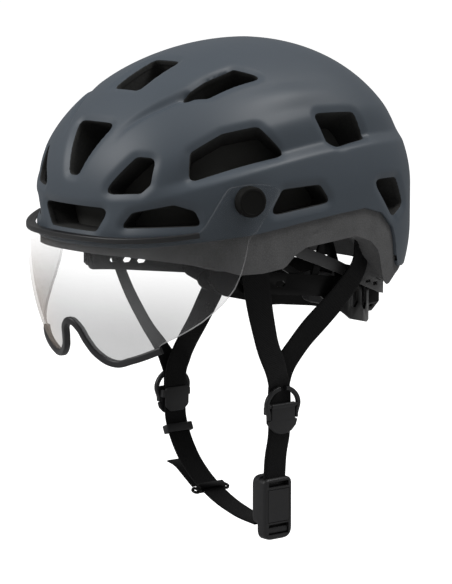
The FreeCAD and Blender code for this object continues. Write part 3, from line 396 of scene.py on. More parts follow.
def makeVentFields():
    fields = []
    everyVent = list(vents.values())
    for corners in sideVents.values():
        everyVent.append(corners)
        everyVent.append([(-x, y, z) for x, y, z in corners])
    for corners in everyVent:
        corners = np.array(corners, float)
        middle = corners.mean(axis=0)
        outward = middle - np.array(shellLook["ventAim"])
        outward /= np.linalg.norm(outward)
        across = np.cross(outward, (0, 0, 1.0))
        across /= np.linalg.norm(across)
        up = np.cross(across, outward)
        flat = np.stack([(corners - middle) @ across, (corners - middle) @ up], axis=1)
        flat = flat * (1.0 + shellLook["ventGrow"] / np.linalg.norm(flat, axis=1).mean())
        fields.append({"middle": middle, "outward": outward, "across": across, "up": up,
                       "outline": easeOutline(flat, shellLook["ventCorner"])})
    return fields


ventFields = makeVentFields()


# distance of points to the nearest vent outline, the way out of it, and which vent it is
def ventDistance(points, reach=60.0):
    best = np.full(len(points), 999.0)
    away = np.zeros((len(points), 3))
    which = np.full(len(points), -1)
    for index, field in enumerate(ventFields):
        local = points - field["middle"]
        near = (local @ field["outward"] > -45.0) & (np.linalg.norm(local, axis=1) < 45.0 + reach)
        if not near.any():
            continue
        flat = np.stack([local[near] @ field["across"], local[near] @ field["up"]], axis=1)
        distance, direction = outlineDistance(flat, field["outline"])
        lower = distance < best[near]
        rows = np.where(near)[0][lower]
        best[rows] = distance[lower]
        away[rows] = direction[lower, :1] * field["across"] + direction[lower, 1:] * field["up"]
        which[rows] = index
    return best, away, which


# distance of points to a path, and how far along it they are, from 0 to 1
def pathDistance(points, path):
    path = np.array(path, float)
    runs = np.linalg.norm(np.diff(path, axis=0), axis=1)
    best, along = np.full(len(points), 1e9), np.zeros(len(points))
    for index, (a, b) in enumerate(zip(path[:-1], path[1:])):
        run = b - a
        share = np.clip(((points - a) @ run) / run.dot(run), 0.0, 1.0)
        distance = np.linalg.norm(points - (a + share[:, None] * run), axis=1)
        closer = distance < best
        best[closer] = distance[closer]
        along[closer] = (runs[:index].sum() + share[closer] * runs[index]) / runs.sum()
    return best, along


def ovalRadius(angle, side, reach, power):
    return (np.abs(np.sin(angle) / side) ** power + np.abs(np.cos(angle) / reach) ** power) ** (-1.0 / power)


def domePlaces(dome, angle, z, grow=0.0):
    climb = np.clip((z - dome["waist"]) / (dome["top"] - dome["waist"]), 0.0, 0.999999)
    sideRound, rearRound = dome["sideRound"], dome["rearRound"]
    narrow = (1.0 - climb ** sideRound) ** (1.0 / sideRound)
    side = (dome["halfWidth"] + grow) * narrow
    front = np.cos(angle) > 0
    tuck = 1.0 - dome["tuck"] * np.minimum(0.0, z) ** 2
    reach = np.where(front, (dome["front"] + grow) * narrow,
                     (dome["rear"] + grow) * tuck * (1.0 - climb ** rearRound) ** (1.0 / rearRound))
    power = np.where(front, dome["frontPower"], dome["rearPower"])
    radius = ovalRadius(angle, side, reach, power)
    shift = dome["crownShift"] * climb ** 2
    return np.stack([radius * np.sin(angle), -radius * np.cos(angle) + shift, z], axis=1)


def edgeLevel(edge, y):
    return np.interp(y, [place[0] for place in edge], [place[1] for place in edge])


# rows of a dome: u goes round, v goes from the lower edge to the crown
def domeRows(dome, edge, lowShare, u, v):
    angle = 2 * np.pi * u
    atZero = domePlaces(dome, angle, np.zeros(len(u)))
    lowest = edgeLevel(edge, atZero[:, 1])
    rise = dome["top"] - dome["waist"]
    low = lowest + (dome["waist"] - lowest) * np.minimum(1.0, v / lowShare)
    high = dome["waist"] + rise * np.sin(np.clip((v - lowShare) / (1 - lowShare), 0, 1) * np.pi / 2)
    return domePlaces(dome, angle, np.where(v < lowShare, low, high))


def smallerDome(dome, gap):
    return {**dome, **{key: dome[key] - gap for key in ("halfWidth", "front", "rear", "top")}}


def noRelief(points):
    return np.zeros(len(points))


# how far the shell's face is pressed inwards: side beam, vent lips, grooves and ridges
def shellRelief(points):
    x, y, z = points.T
    low, slope, bend = shellLook["beamLine"]
    above = z - (low + slope * y + bend * y * y)
    side = smoothStep(np.abs(x) / np.maximum(np.hypot(x, y), 1e-6), *shellLook["beamSide"])
    step = np.clip((above + shellLook["beamStart"]) / shellLook["beamRise"], 0.0, 1.0)
    fade = 1 - smoothStep(above, *shellLook["beamFade"])
    inward = shellLook["beamRelief"] * side * (0.6 * step + 0.4 * smoothStep(step)) * fade
    distance = ventDistance(points, 40.0)[0]
    lip = np.clip(1.0 - np.maximum(distance, 0.0) / shellLook["lipWidth"], 0.0, 1.0)
    inward += shellLook["lipDepth"] * lip ** shellLook["lipPower"]
    mirroredPoints = np.stack([np.abs(x), y, z], axis=1)
    for path, startWidth, endWidth, depth, sink in grooves:
        distance, along = pathDistance(mirroredPoints, path)
        share = distance / (startWidth + (endWidth - startWidth) * along)
        inward += depth * smoothStep(along, 0.0, sink) * (1 - smoothStep(share))
    for path, width, height in ridges:
        distance, along = pathDistance(mirroredPoints, path)
        ends = smoothStep(along, 0.15, 0.6) * (1 - smoothStep(along, 0.6, 1.0))
        inward -= height * ends * (1 - smoothStep(distance / width))
    return inward


def domeSheet(dome, edge, segments, lowRows, highRows, relief):
    rows = lowRows + highRows
    lowShare = lowRows / rows
    bm = bmesh.new()
    bmesh.ops.create_grid(bm, x_segments=segments, y_segments=rows, size=0.5)
    grid = vertexArray(bm)
    u, v = grid[:, 0] + 0.5, grid[:, 1] + 0.5
    small = 1e-4
    places = domeRows(dome, edge, lowShare, u, v)
    lean = np.where(v > 0.999, v - 2 * small, v)
    base = domeRows(dome, edge, lowShare, u, lean)
    alongU = domeRows(dome, edge, lowShare, u + small, lean) - base
    alongV = domeRows(dome, edge, lowShare, u, lean + small) - base
    normal = np.cross(alongU, alongV)
    normal /= np.maximum(np.linalg.norm(normal, axis=1), 1e-12)[:, None]
    flip = np.sum(normal * (places - np.array((0, 0, 20.0))), axis=1) < 0
    normal[flip] *= -1
    crown = v > 0.999
    normal[crown] = (0, 0, 1)
    places = places - normal * relief(places)[:, None]
    placeVertices(bm.verts, places)
    bmesh.ops.remove_doubles(bm, verts=bm.verts, dist=0.02)
    return bm


# moves the open edge of a cut sheet on to the outline that it was cut by
def settleRim(bm, measure, reach):
    bm.normal_update()
    rim = [vert for vert in bm.verts if vert.is_boundary]
    for _ in range(2):
        distance, away = measure(np.array([vert.co[:] for vert in rim]))[:2]
        for vert, gap, way in zip(rim, distance, away):
            if abs(gap) < reach:
                flatWay = Vector(way) - vert.normal * Vector(way).dot(vert.normal)
                vert.co -= flatWay * (gap / max(0.3, flatWay.length_squared))


def itemsOf(items, kind):
    return [item for item in items if isinstance(item, kind)]


# opens the vents in a dome sheet, and settles the cut on the vent's outline
def openVents(bm):
    places = vertexArray(bm)
    distance, _, which = ventDistance(places)
    bm.verts.index_update()
    gone = [face for face in bm.faces
            if np.mean([distance[vert.index] for vert in face.verts]) < 0
            and len({which[vert.index] for vert in face.verts}) <= 2]
    bmesh.ops.delete(bm, geom=gone, context="FACES")
    settleRim(bm, ventDistance, 6.0)


def ventEdges(bm):
    edges = [edge for edge in bm.edges if edge.is_boundary]
    middles = np.array([((edge.verts[0].co + edge.verts[1].co) / 2)[:] for edge in edges])
    return [edge for edge, gap in zip(edges, ventDistance(middles)[0]) if abs(gap) < 3.0]


# turns the open edge of each vent inwards by a list of (drop, shrink) steps; the steps from the given order on
# take the second material, the darkened foam painted as shade deep in the vent
def turnIn(bm, edges, steps, paintedShadeFrom=99):
    for order, (drop, shrink) in enumerate(steps):
        grown = bmesh.ops.extrude_edge_only(bm, edges=edges)["geom"]
        verts = itemsOf(grown, bmesh.types.BMVert)
        edges = [edge for edge in itemsOf(grown, bmesh.types.BMEdge) if edge.is_boundary]
        if order >= paintedShadeFrom:
            for face in itemsOf(grown, bmesh.types.BMFace):
                face.material_index = 1
        spots = np.array([vert.co[:] for vert in verts])
        _, away, which = ventDistance(spots)
        for vert, way, index in zip(verts, away, which):
            field = ventFields[index]
            vert.co += Vector(-field["outward"] * drop - way * shrink)
    return edges


def makeShell():
    look = shellLook
    bm = domeSheet(shellDome, shellEdge, look["segments"], look["lowRows"], look["highRows"], shellRelief)
    openVents(bm)
    # the shell's vent walls past the first lip step take the darkened foam, as painted shade
    turnIn(bm, ventEdges(bm), look["ventLips"], 1)
    # lower rim rolls in to the foam
    rim = [edge for edge in bm.edges if edge.is_boundary and
           min(vert.co.z for vert in edge.verts) < 26 and
           np.hypot(edge.verts[0].co.x, edge.verts[0].co.y) > 60]
    spots = [edge.verts[0].co for edge in rim]
    lowest = [edge for edge, spot in zip(rim, spots) if abs(spot.z - edgeLevel(shellEdge, spot.y)) < 1.2]
    for inward, drop in look["rimRoll"]:
        grown = bmesh.ops.extrude_edge_only(bm, edges=lowest)["geom"]
        for vert in itemsOf(grown, bmesh.types.BMVert):
            toMiddle = Vector((-vert.co.x, -vert.co.y, 0)).normalized()
            vert.co += toMiddle * inward - Vector((0, 0, drop))
        lowest = [edge for edge in itemsOf(grown, bmesh.types.BMEdge) if edge.is_boundary]
    return finishPiece(bm, "shellSkin", "shell", "root", ["outer_shell"], 40.0, False, ["paintedShadeFoam"])


def insideCavity(points):
    x, y, z = points.T
    dome = cavityDome
    climb = np.clip((z - dome["waist"]) / (dome["top"] - dome["waist"]), 0.0, 1.0)
    narrow = (1.0 - climb ** 2) ** 0.5
    y = y - dome["crownShift"] * climb ** 2
    front = y < 0
    reach = np.where(front, dome["front"], dome["rear"]) * np.maximum(narrow, 1e-3)
    power = np.where(front, dome["frontPower"], dome["rearPower"])
    side = dome["halfWidth"] * np.maximum(narrow, 1e-3)
    return (np.abs(x) / side) ** power + (np.abs(y) / reach) ** power < 1.0


# the seam is a moulded line low on the side, under the shell's edge
linerLook = {
    "clearance": 0.25, "gap": 0.4, "outside": (300, 20, 60), "inside": (300, 14, 40), "deepest": 40.0,
    "paintedShadeAbove": 12, "seamDepth": 0.9, "seamWidth": 1.1,
    "seam": [(90, -96, -2), (98, -80, -6), (103, -60, -7), (106.4, -30, -3), (106.4, 0, 4)],
}


def linerRelief(points):
    x, y, z = points.T
    distance = pathDistance(np.stack([np.abs(x), y, z], axis=1), linerLook["seam"])[0]
    line = 1 - smoothStep(distance, 0.0, linerLook["seamWidth"])
    return shellRelief(points) + linerLook["gap"] + linerLook["seamDepth"] * line


def makeLiner():
    look = linerLook
    dome = smallerDome(shellDome, shellLook["wall"] + look["clearance"])
    bm = domeSheet(dome, linerEdge, *look["outside"], linerRelief)
    openVents(bm)
    edges = turnIn(bm, ventEdges(bm), [(0.1, 0.0)])
    # the vent walls run deep into the cavity and take the darkened foam, as painted shade
    grown = bmesh.ops.extrude_edge_only(bm, edges=edges)["geom"]
    verts = itemsOf(grown, bmesh.types.BMVert)
    for face in itemsOf(grown, bmesh.types.BMFace):
        face.material_index = 1
    spots = np.array([vert.co[:] for vert in verts])
    which = ventDistance(spots)[2]
    ways = np.array([ventFields[index]["outward"] for index in which])
    near, far = np.zeros(len(verts)), np.full(len(verts), 62.0)
    for _ in range(16):
        middle = (near + far) / 2
        inside = insideCavity(spots - ways * middle[:, None])
        far = np.where(inside, middle, far)
        near = np.where(inside, near, middle)
    placeVertices(verts, spots - ways * np.minimum(far, look["deepest"])[:, None])

    hollow = domeSheet(cavityDome, linerEdge, *look["inside"], noRelief)
    openVents(hollow)
    bmesh.ops.reverse_faces(hollow, faces=hollow.faces)
    # the hollow's inside above a set height takes the darkened foam, as painted shade
    for face in hollow.faces:
        if face.calc_center_median().z > look["paintedShadeAbove"]:
            face.material_index = 1
    mesh = bpy.data.meshes.new("hollowSheet")
    hollow.to_mesh(mesh)
    hollow.free()
    bm.from_mesh(mesh)
    bpy.data.meshes.remove(mesh)
    rims = []
    for edge in bm.edges:
        if edge.is_boundary:
            spot = edge.verts[0].co
            level = edgeLevel(linerEdge, spot.y)
            other = edge.verts[1].co
            if spot.z < 19 and abs(spot.z - level) < 9 and np.hypot(spot.x, spot.y) > 60 and other.z < 19:
                rims.append(edge)
    try:
        bmesh.ops.bridge_loops(bm, edges=rims)
    except RuntimeError as problem:
        print("liner rim not bridged:", problem)
    return finishPiece(bm, "foamLiner", "foam", "root", ["foam_liner"], 45.0, False, ["paintedShadeFoam"])


shadeSheetLook = {"gap": 0.15, "edge": [(-150, 3), (-60, 8), (0, 12), (60, 4), (140, 0)], "cutWidth": 0.28,
           "cutSpare": 1.02}


# thin dark sheet on the inside of the foam, behind the vents: painted shade, so the vents read black
def makeShadeSheet():
    bm = domeSheet(smallerDome(cavityDome, shadeSheetLook["gap"]), shadeSheetLook["edge"], 120, 6, 30, noRelief)
    bmesh.ops.reverse_faces(bm, faces=bm.faces)
    area = sum(face.calc_area() for face in bm.faces) * 1e-6
    piece = finishPiece(bm, "ventShadeSheet", "net", "root", (), 60.0, False)


makeShell()
print("shell skin made")
makeShadeSheet()
makeLiner()
print("liner made")


visorLook = {"halfWidth": 112.2, "front": 144.5, "power": 2.4, "thickness": 2.2, "setback": 0.145,
             "bendStart": -2.0, "bendDepth": 89.0, "bendPower": 2.4, "endAngle": 74.0,
             "columns": 260, "rows": 90, "bottom": -88, "tall": 130}
# the lens's outline seen from the side, and its lower edge seen from the front
earOutline = [(-170, 2.4), (-136, 2.4), (-126, 3.3), (-112, 5.1), (-98.6, 6.9), (-93, 13), (-82.2, 32.3),
              (-78.3, 38), (-62, 39.8), (-47, 38.6), (-41, 34), (-44, 29), (-59, 7.5), (-64.5, 3),
              (-67.2, -11), (-70, -21), (-74, -31), (-81, -41), (-92.3, -53),
              (-102.3, -61.5), (-112, -69.5), (-112, -100), (-170, -100)]
noseEdge = [(0, -56.5), (8.5, -61), (13, -70), (18.5, -78), (31, -84), (45, -80.8), (64.5, -72.6), (84, -62)]


def visorPlaces(angle, z, inset=0.0):
    depth = np.maximum(0.0, visorLook["bendStart"] - z) / visorLook["bendDepth"]
    shrink = 1.0 - visorLook["setback"] * depth ** visorLook["bendPower"]
    side = visorLook["halfWidth"] * shrink - inset
    front = visorLook["front"] * shrink - inset
    power = visorLook["power"]
    radius = ovalRadius(angle, side, front, power)
    return np.stack([radius * np.sin(angle), -radius * np.cos(angle), z + 0 * angle], axis=1)


# points spread evenly along a line of spots, by their number or their spacing, and the line's length
def evenly(spots, count, spacing=1.0):
    walked = np.concatenate([[0.0], np.cumsum(np.linalg.norm(np.diff(spots, axis=0), axis=1))])
    even = np.linspace(0.0, walked[-1], count or max(4, int(walked[-1] / spacing)))
    return np.stack([np.interp(even, walked, spots[:, axis]) for axis in range(3)], axis=1), walked[-1]


# smooth curve through places, as evenly spread points
def smoothPath(places, count):
    curve = bpy.data.curves.new("guide", "CURVE")
    curve.dimensions = "3D"
    curve.resolution_u = 24
    spline = curve.splines.new("BEZIER")
    spline.bezier_points.add(len(places) - 1)
    for point, place in zip(spline.bezier_points, places):
        point.co = place
        point.handle_left_type = point.handle_right_type = "AUTO"
    holder = bpy.data.objects.new("guide", curve)
    mesh = bpy.data.meshes.new_from_object(holder)
    spots = np.array([vert.co[:] for vert in mesh.vertices])
    bpy.data.objects.remove(holder)
    bpy.data.curves.remove(curve)
    bpy.data.meshes.remove(mesh)
    return evenly(spots, count)[0]


def noseCurve(count=120):
    places = [(-x, 0, z) for x, z in reversed(noseEdge[1:])] + [(x, 0, z) for x, z in noseEdge]
    return smoothPath(places, count)[:, [0, 2]]


noseLine = noseCurve()


# negative inside the lens's outline
def lensDistance(points):
    sideDistance, sideAway = outlineDistance(points[:, 1:], earSmooth)
    noseOutline = np.vstack([noseLine, [(130, noseLine[-1][1] + 12), (130, 60), (-130, 60),
                                        (-130, noseLine[0][1] + 12)]])
    frontDistance, frontAway = outlineDistance(points[:, [0, 2]], noseOutline)
    distance = np.maximum(sideDistance, frontDistance)
    useSide = sideDistance > frontDistance
    away = np.zeros((len(points), 3))
    away[useSide, 1:] = sideAway[useSide]
    away[~useSide, 0] = frontAway[~useSide, 0]
    away[~useSide, 2] = frontAway[~useSide, 1]
    return distance, away


earSmooth = easeOutline(earOutline, 7.0, 5)


def makeLens():
    bm = bmesh.new()
    bmesh.ops.create_grid(bm, x_segments=visorLook["columns"], y_segments=visorLook["rows"], size=0.5)
    grid = vertexArray(bm)
    angle = np.radians(visorLook["endAngle"]) * 2 * grid[:, 0]
    places = visorPlaces(angle, visorLook["bottom"] + visorLook["tall"] * (grid[:, 1] + 0.5))
    placeVertices(bm.verts, places)
    distance = lensDistance(places)[0]
    bm.verts.index_update()
    gone = [face for face in bm.faces if np.mean([distance[vert.index] for vert in face.verts]) > 0]
    bmesh.ops.delete(bm, geom=gone, context="FACES")
    settleRim(bm, lensDistance, math.inf)
    for face in bm.faces:
        middle = face.calc_center_median()
        if face.normal.dot(Vector((middle.x, middle.y, 0))) < 0:
            face.normal_flip()
    piece = finishPiece(bm, "visorLens", "lens", "visor", ["visor_lens"], 50.0, False, ["lensEdge"])
    thicken = piece.modifiers.new("thickness", "SOLIDIFY")
    thicken.thickness = visorLook["thickness"] * 0.001
    thicken.offset = -1.0
    thicken.material_offset_rim = 1


# a closed section swept along a path; section is in (outward, along the sheet) axes
def sweep(path, outs, section, bm=None):
    bm = bm or bmesh.new()
    count = len(path)
    sectionAt = section if callable(section) else lambda index: section
    uvLayer = bm.loops.layers.uv.verify()
    walked = 0.0
    previous = None
    for index in range(count):
        here = Vector(path[index])
        before, after = Vector(path[max(0, index - 1)]), Vector(path[min(count - 1, index + 1)])
        along = (after - before).normalized()
        out = Vector(outs[index])
        across = along.cross(out).normalized()
        out = across.cross(along).normalized()
        corners = sectionAt(index)
        places = [here + out * a + across * b for a, b in corners]
        if previous is None:
            ring = [bm.verts.new(place) for place in places]
            edges = [bm.edges.new((ring[i], ring[(i + 1) % len(ring)])) for i in range(len(ring))]
            bm.faces.new(ring)
            previous, lastPlace = (ring, edges), here
            continue
        ring, edges = previous
        grown = bmesh.ops.extrude_edge_only(bm, edges=edges)["geom"]
        newVerts = set(itemsOf(grown, bmesh.types.BMVert))
        nextRing = [next(edge.other_vert(old) for edge in old.link_edges if edge.other_vert(old) in newVerts)
                    for old in ring]
        for vert, place in zip(nextRing, places):
            vert.co = place
        step = (here - lastPlace).length
        for face in itemsOf(grown, bmesh.types.BMFace):
            for loop in face.loops:
                isNew = loop.vert in nextRing
                order = (nextRing if isNew else ring).index(loop.vert)
                loop[uvLayer].uv = ((walked + (step if isNew else 0.0)) * 0.001, corners[order][1] * 0.001)
        walked += step
        previous = (nextRing, [edge for edge in itemsOf(grown, bmesh.types.BMEdge)
                               if edge.verts[0] in nextRing and edge.verts[1] in nextRing])
        lastPlace = here
    bm.faces.new(previous[0])
    return bm


def roundedSection(outLow, outHigh, acrossLow, acrossHigh, corner, steps=3):
    points = easeOutline([(outLow, acrossLow), (outHigh, acrossLow), (outHigh, acrossHigh),
                          (outLow, acrossHigh)], corner, steps)
    return [tuple(point) for point in points]


def visorNormals(path):
    return [np.array((p[0] / 1.35, p[1], 0.0)) for p in path]


def surfaceOf(x, z, inset=0.0):
    low, high = -1.45, 1.45
    for _ in range(30):
        middle = (low + high) / 2
        if visorPlaces(np.array([middle]), np.array([z]), inset)[0][0] < x:
            low = middle
        else:
            high = middle
    return visorPlaces(np.array([low]), np.array([z]), inset)[0]


# the brow line climbs from "low" at the front by "rise" over "length" to the temples
sealLook = {"noseReach": 66, "noseSection": (-2.4, 2.4, -1.4, 3.6, 1.4), "inset": 1.1,
            "browAngle": 0.755, "browPoints": 110, "browSection": (-2.1, 2.1, -1.9, 1.9, 1.0, 4),
            "low": 2.4, "rise": 4.5, "front": -136.0, "length": 37.4, "most": 1.3}


def browTop(y):
    look = sealLook
    climb = np.clip((y - look["front"]) / look["length"], 0.0, look["most"])
    return look["low"] + look["rise"] * climb ** look["most"]


def makeSeals():
    look = sealLook
    path = [surfaceOf(x, z, look["inset"]) for x, z in noseLine if abs(x) < look["noseReach"]]
    bm = sweep(path, visorNormals(path), roundedSection(*look["noseSection"]))
    finishPiece(bm, "noseSeal", "seal", "visor", ["visor_nose_seal"], 50.0)
    count = look["browPoints"]
    angles = np.linspace(-look["browAngle"], look["browAngle"], count)
    middle = visorPlaces(angles, np.zeros(count), look["inset"])
    tops = browTop(middle[:, 1])
    path = middle + np.stack([0 * tops, 0 * tops, tops - 0.6], axis=1)
    bm = sweep(path, visorNormals(path), roundedSection(*look["browSection"]))
    # the lip fills the way in to the shell, above the lens
    brow = domePlaces(shellDome, angles, np.zeros(count), 0.9)
    gap = np.linalg.norm(middle[:, :2], axis=1) - np.linalg.norm(brow[:, :2], axis=1)
    path = middle + np.stack([0 * tops, 0 * tops, tops + 0.45], axis=1)
    sweep(path, [np.array((x, y, 0.0)) for x, y, z in path],
          lambda index: roundedSection(-max(gap[index], 1.3), 0.0, -0.7, 0.7, 0.4), bm)
    finishPiece(bm, "browSeal", "seal", "visor", ["visor_brow_seal"], 50.0)


makeLens()
makeSeals()
print("visor made")


# pivot caps: a low round button with a stepped rim over each temple, as (radius, height) round its axis
capLook = {"turn": 15.0, "segments": 96, "foot": (105.3, -64.2, 28.2),
           "profile": [(10.5, -2.6), (10.5, 2.2), (10.1, 3.4), (9.3, 4.3), (8.2, 4.6), (7.9, 4.35),
                       (7.5, 4.3), (0.0, 4.45)]}


def makeCaps():
    turn = math.radians(capLook["turn"])
    foot = Vector(capLook["foot"])
    outward = Vector((math.cos(turn), -math.sin(turn), 0))
    across = Vector((math.sin(turn), math.cos(turn), 0))
    for side, name in ((1, "left"), (-1, "right")):
        bm = bmesh.new()
        verts = [bm.verts.new((radius, 0, height)) for radius, height in capLook["profile"]]
        edges = [bm.edges.new(pair) for pair in zip(verts[:-1], verts[1:])]
        bmesh.ops.spin(bm, geom=verts + edges, axis=(0, 0, 1), cent=(0, 0, 0), angle=2 * math.pi,
                       steps=capLook["segments"], use_merge=True)
        bmesh.ops.remove_doubles(bm, verts=bm.verts, dist=0.001)
        for vert in bm.verts:
            x, y, z = vert.co
            place = foot + outward * z + across * y + Vector((0, 0, x))
            vert.co = (place.x * side, place.y, place.z)
        finishPiece(bm, "pivotCap_" + name, "cap", "visor", ["pivot_cap_" + name], 30.0)


makeCaps()


strapLook = {"width": 19.0, "thickness": 1.5, "spacing": 3.0}
upperStraps = {
    "front_strap_left": {"facing": (0.9, -0.42, 0), "path": [
        (86, -44, -12), (84.5, -43, -24), (80, -35, -50), (72, -21, -80), (67, -9.5, -96), (60.6, -1.5, -109),
        (60.3, 0, -117), (60.3, 0, -124)]},
    "rear_strap_left": {"facing": (0.95, 0.3, 0), "path": [
        (86, 53, -5), (85, 52.5, -28), (83.4, 34, -48), (73, 14, -72), (63, 8, -88), (58.6, 4, -98),
        (58.6, 0, -110), (58.6, 0, -124)]},
    "front_strap_right": {"facing": (0.80, 0.60, 0), "path": [
        (-85, -38, -12), (-84, -37, -26), (-80, -27, -56), (-73, -14, -84), (-68, -5, -99), (-60.8, -1, -113),
        (-60.3, 0, -120.5), (-60.3, 0, -128)], "turn": (0.62, 0.95)},
    "rear_strap_right": {"facing": (0.94, -0.34, 0), "path": [
        (-85, 55, -6), (-83.5, 57, -34), (-79.5, 55, -57), (-74, 34, -82), (-64, 16, -94), (-58.6, 6, -102),
        (-58.6, 0, -114), (-58.6, 0, -128)], "turn": (0.1, 0.6)},
}
lowerStraps = {
    "buckle_strap": {"thickness": 3.0, "path": [(59.4, -124.4), (59.4, -146), (55.4, -160), (54.0, -179)]},
    "chin_strap": {"thickness": 1.5, "path": [(-59.4, -128.4), (-59.4, -150), (-52.5, -165), (-42.0, -179),
                                              (-26.0, -191.5), (-2.0, -203), (24.0, -209.5), (43.0, -211.0)]},
    "strap_tail": {"thickness": 1.4, "path": [(-27.5, -195.6), (-37.5, -189.5), (-48.0, -183.0),
                                              (-57.0, -181.5)]},
}


def easedPath(places, spacing):
    places = [Vector(place) for place in places]
    points = [places[0]]
    for index in range(1, len(places) - 1):
        corner = places[index]
        back, ahead = places[index - 1] - corner, places[index + 1] - corner
        reach = 0.45 * min(back.length, ahead.length)
        start, end = corner + back.normalized() * reach, corner + ahead.normalized() * reach
        for step in range(7):
            share = step / 6
            near, far = start.lerp(corner, share), corner.lerp(end, share)
            points.append(near.lerp(far, share))
    points.append(places[-1])
    return evenly(np.array([point[:] for point in points]), None, spacing)


def strapSection(thickness, width):
    half = width / 2
    face = thickness / 2
    outer = [(face * 0.55, -half), (face * 0.95, -half + 0.7), (face, -half + 2.2), (face * 0.9, 0.0),
             (face, half - 2.2), (face * 0.95, half - 0.7), (face * 0.55, half)]
    return outer + [(-a, b) for a, b in reversed(outer)]


def makeStraps():
    for name, strap in upperStraps.items():
        path, length = easedPath(strap["path"], strapLook["spacing"])
        count = len(path)
        outs = []
        for index in range(count):
            share = smoothStep(index / count, *strap.get("turn", (0.0, 0.7)))
            outs.append(np.array(strap["facing"]) * (1 - share) + np.array((1.0, 0, 0)) * share)
        bm = sweep(path, outs, strapSection(strapLook["thickness"], strapLook["width"]))
        piece = finishPiece(bm, name.replace("_", "-"), "webbing", "root", [name], 60.0)
    for name, strap in lowerStraps.items():
        path, length = easedPath([(x, 0, z) for x, z in strap["path"]], strapLook["spacing"])
        runs = np.gradient(path, axis=0)
        outs = [(-run[2], 0, run[0]) for run in runs]
        bm = sweep(path, outs, strapSection(strap["thickness"], strapLook["width"]))
        bends = name == "chin_strap"
        piece = finishPiece(bm, name.replace("_", "-"), "webbing", None if bends else "root", [name], 60.0)
        if bends:
            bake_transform(piece)


makeStraps()
print("straps made")


def easeEdges(bm, edges, width, segments):
    bmesh.ops.bevel(bm, geom=edges, offset=width, offset_type="OFFSET", affect="EDGES", segments=segments,
                    profile=0.5, material=-1, clamp_overlap=True)


# a copy of a CAD node with its edges eased
def easedCopy(node, name, finish, body, width, segments=2, angle=28.0, sharp=40.0, dissolve=6.0):
    bm = bmesh.new()
    bm.from_mesh(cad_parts[node].data)
    bmesh.ops.scale(bm, vec=(1000, 1000, 1000), verts=bm.verts)
    bmesh.ops.remove_doubles(bm, verts=bm.verts, dist=0.003)
    if dissolve:
        bmesh.ops.dissolve_limit(bm, angle_limit=math.radians(dissolve), verts=bm.verts, edges=bm.edges)
    edges = [edge for edge in bm.edges if len(edge.link_faces) == 2
             and edge.calc_face_angle(0.0) > math.radians(angle)]
    easeEdges(bm, edges, width, segments)
    return finishPiece(bm, name, finish, body, [node], sharp, False)


# a flat plate facing the wearer's side, from its outline across and up, with eased edges
def addPlate(bm, outline, lowX, highX, ease=0.5, segments=3, frontOnly=False):
    face = bm.faces.new([bm.verts.new((lowX, y, z)) for y, z in outline])
    grown = bmesh.ops.extrude_face_region(bm, geom=[face])["geom"]
    front = itemsOf(grown, bmesh.types.BMVert)
    bmesh.ops.translate(bm, vec=(highX - lowX, 0, 0), verts=front)
    bm.normal_update()
    rims = [edge for vert in front for edge in vert.link_edges if all(other in front for other in edge.verts)]
    if not frontOnly:
        rims += list(face.edges)
    easeEdges(bm, list(dict.fromkeys(rims)), ease, segments)


# presses a rectangle of the front inwards; a border presses only a groove of that width round it
def pressFront(bm, lowY, highY, lowZ, highZ, depth, border=0.0):
    for place, normal in (((0, lowY, 0), (0, 1, 0)), ((0, highY, 0), (0, 1, 0)),
                          ((0, 0, lowZ), (0, 0, 1)), ((0, 0, highZ), (0, 0, 1))):
        faces = [face for face in bm.faces if face.normal.x > 0.999]
        geom = faces + [item for face in faces for item in (*face.edges, *face.verts)]
        bmesh.ops.bisect_plane(bm, geom=list(dict.fromkeys(geom)), plane_co=place, plane_no=normal, dist=1e-4)
        bm.normal_update()
    inside = []
    for face in bm.faces:
        middle = face.calc_center_median()
        if face.normal.x > 0.999 and lowY < middle.y < highY and lowZ < middle.z < highZ:
            inside.append(face)
    if border:
        inside = bmesh.ops.inset_region(bm, faces=inside, thickness=border)["faces"]
    grown = bmesh.ops.extrude_face_region(bm, geom=inside)["geom"]
    bmesh.ops.delete(bm, geom=inside, context="FACES")
    bmesh.ops.translate(bm, vec=(-depth, 0, 0), verts=itemsOf(grown, bmesh.types.BMVert))
    bm.normal_update()


dividerLook = {
    "hinge": {"left": -124.0, "right": -128.0}, "pinX": 63.0,
    "arm": [(2.6, 12.3), (6.0, 11.6), (10.6, 8.6), (13.6, 4.4), (14.3, 0.6), (13.4, -2.8), (12.6, -5.6),
            (12.5, -9.2)],
    "flap": [(-10.6, -0.3), (10.6, -0.3), (10.8, -9.6), (13.1, -10.4), (11.6, -14.6), (7.8, -18.2),
             (2.6, -19.9), (-2.6, -19.9), (-7.8, -18.2), (-11.6, -14.6), (-13.1, -10.4), (-10.8, -9.6)],
    "back": [(-10.4, 1), (11.4, 1), (11.0, -13), (6, -17), (-6, -17), (-10.0, -13)],
    # the flap's barrel and its pin, as half length and section
    "pins": [(10.6, (-1.95, 1.75, -1.9, 1.9, 1.7, 4)), (14.2, (-1.2, 1.2, -1.2, 1.2, 1.1, 3))],
}


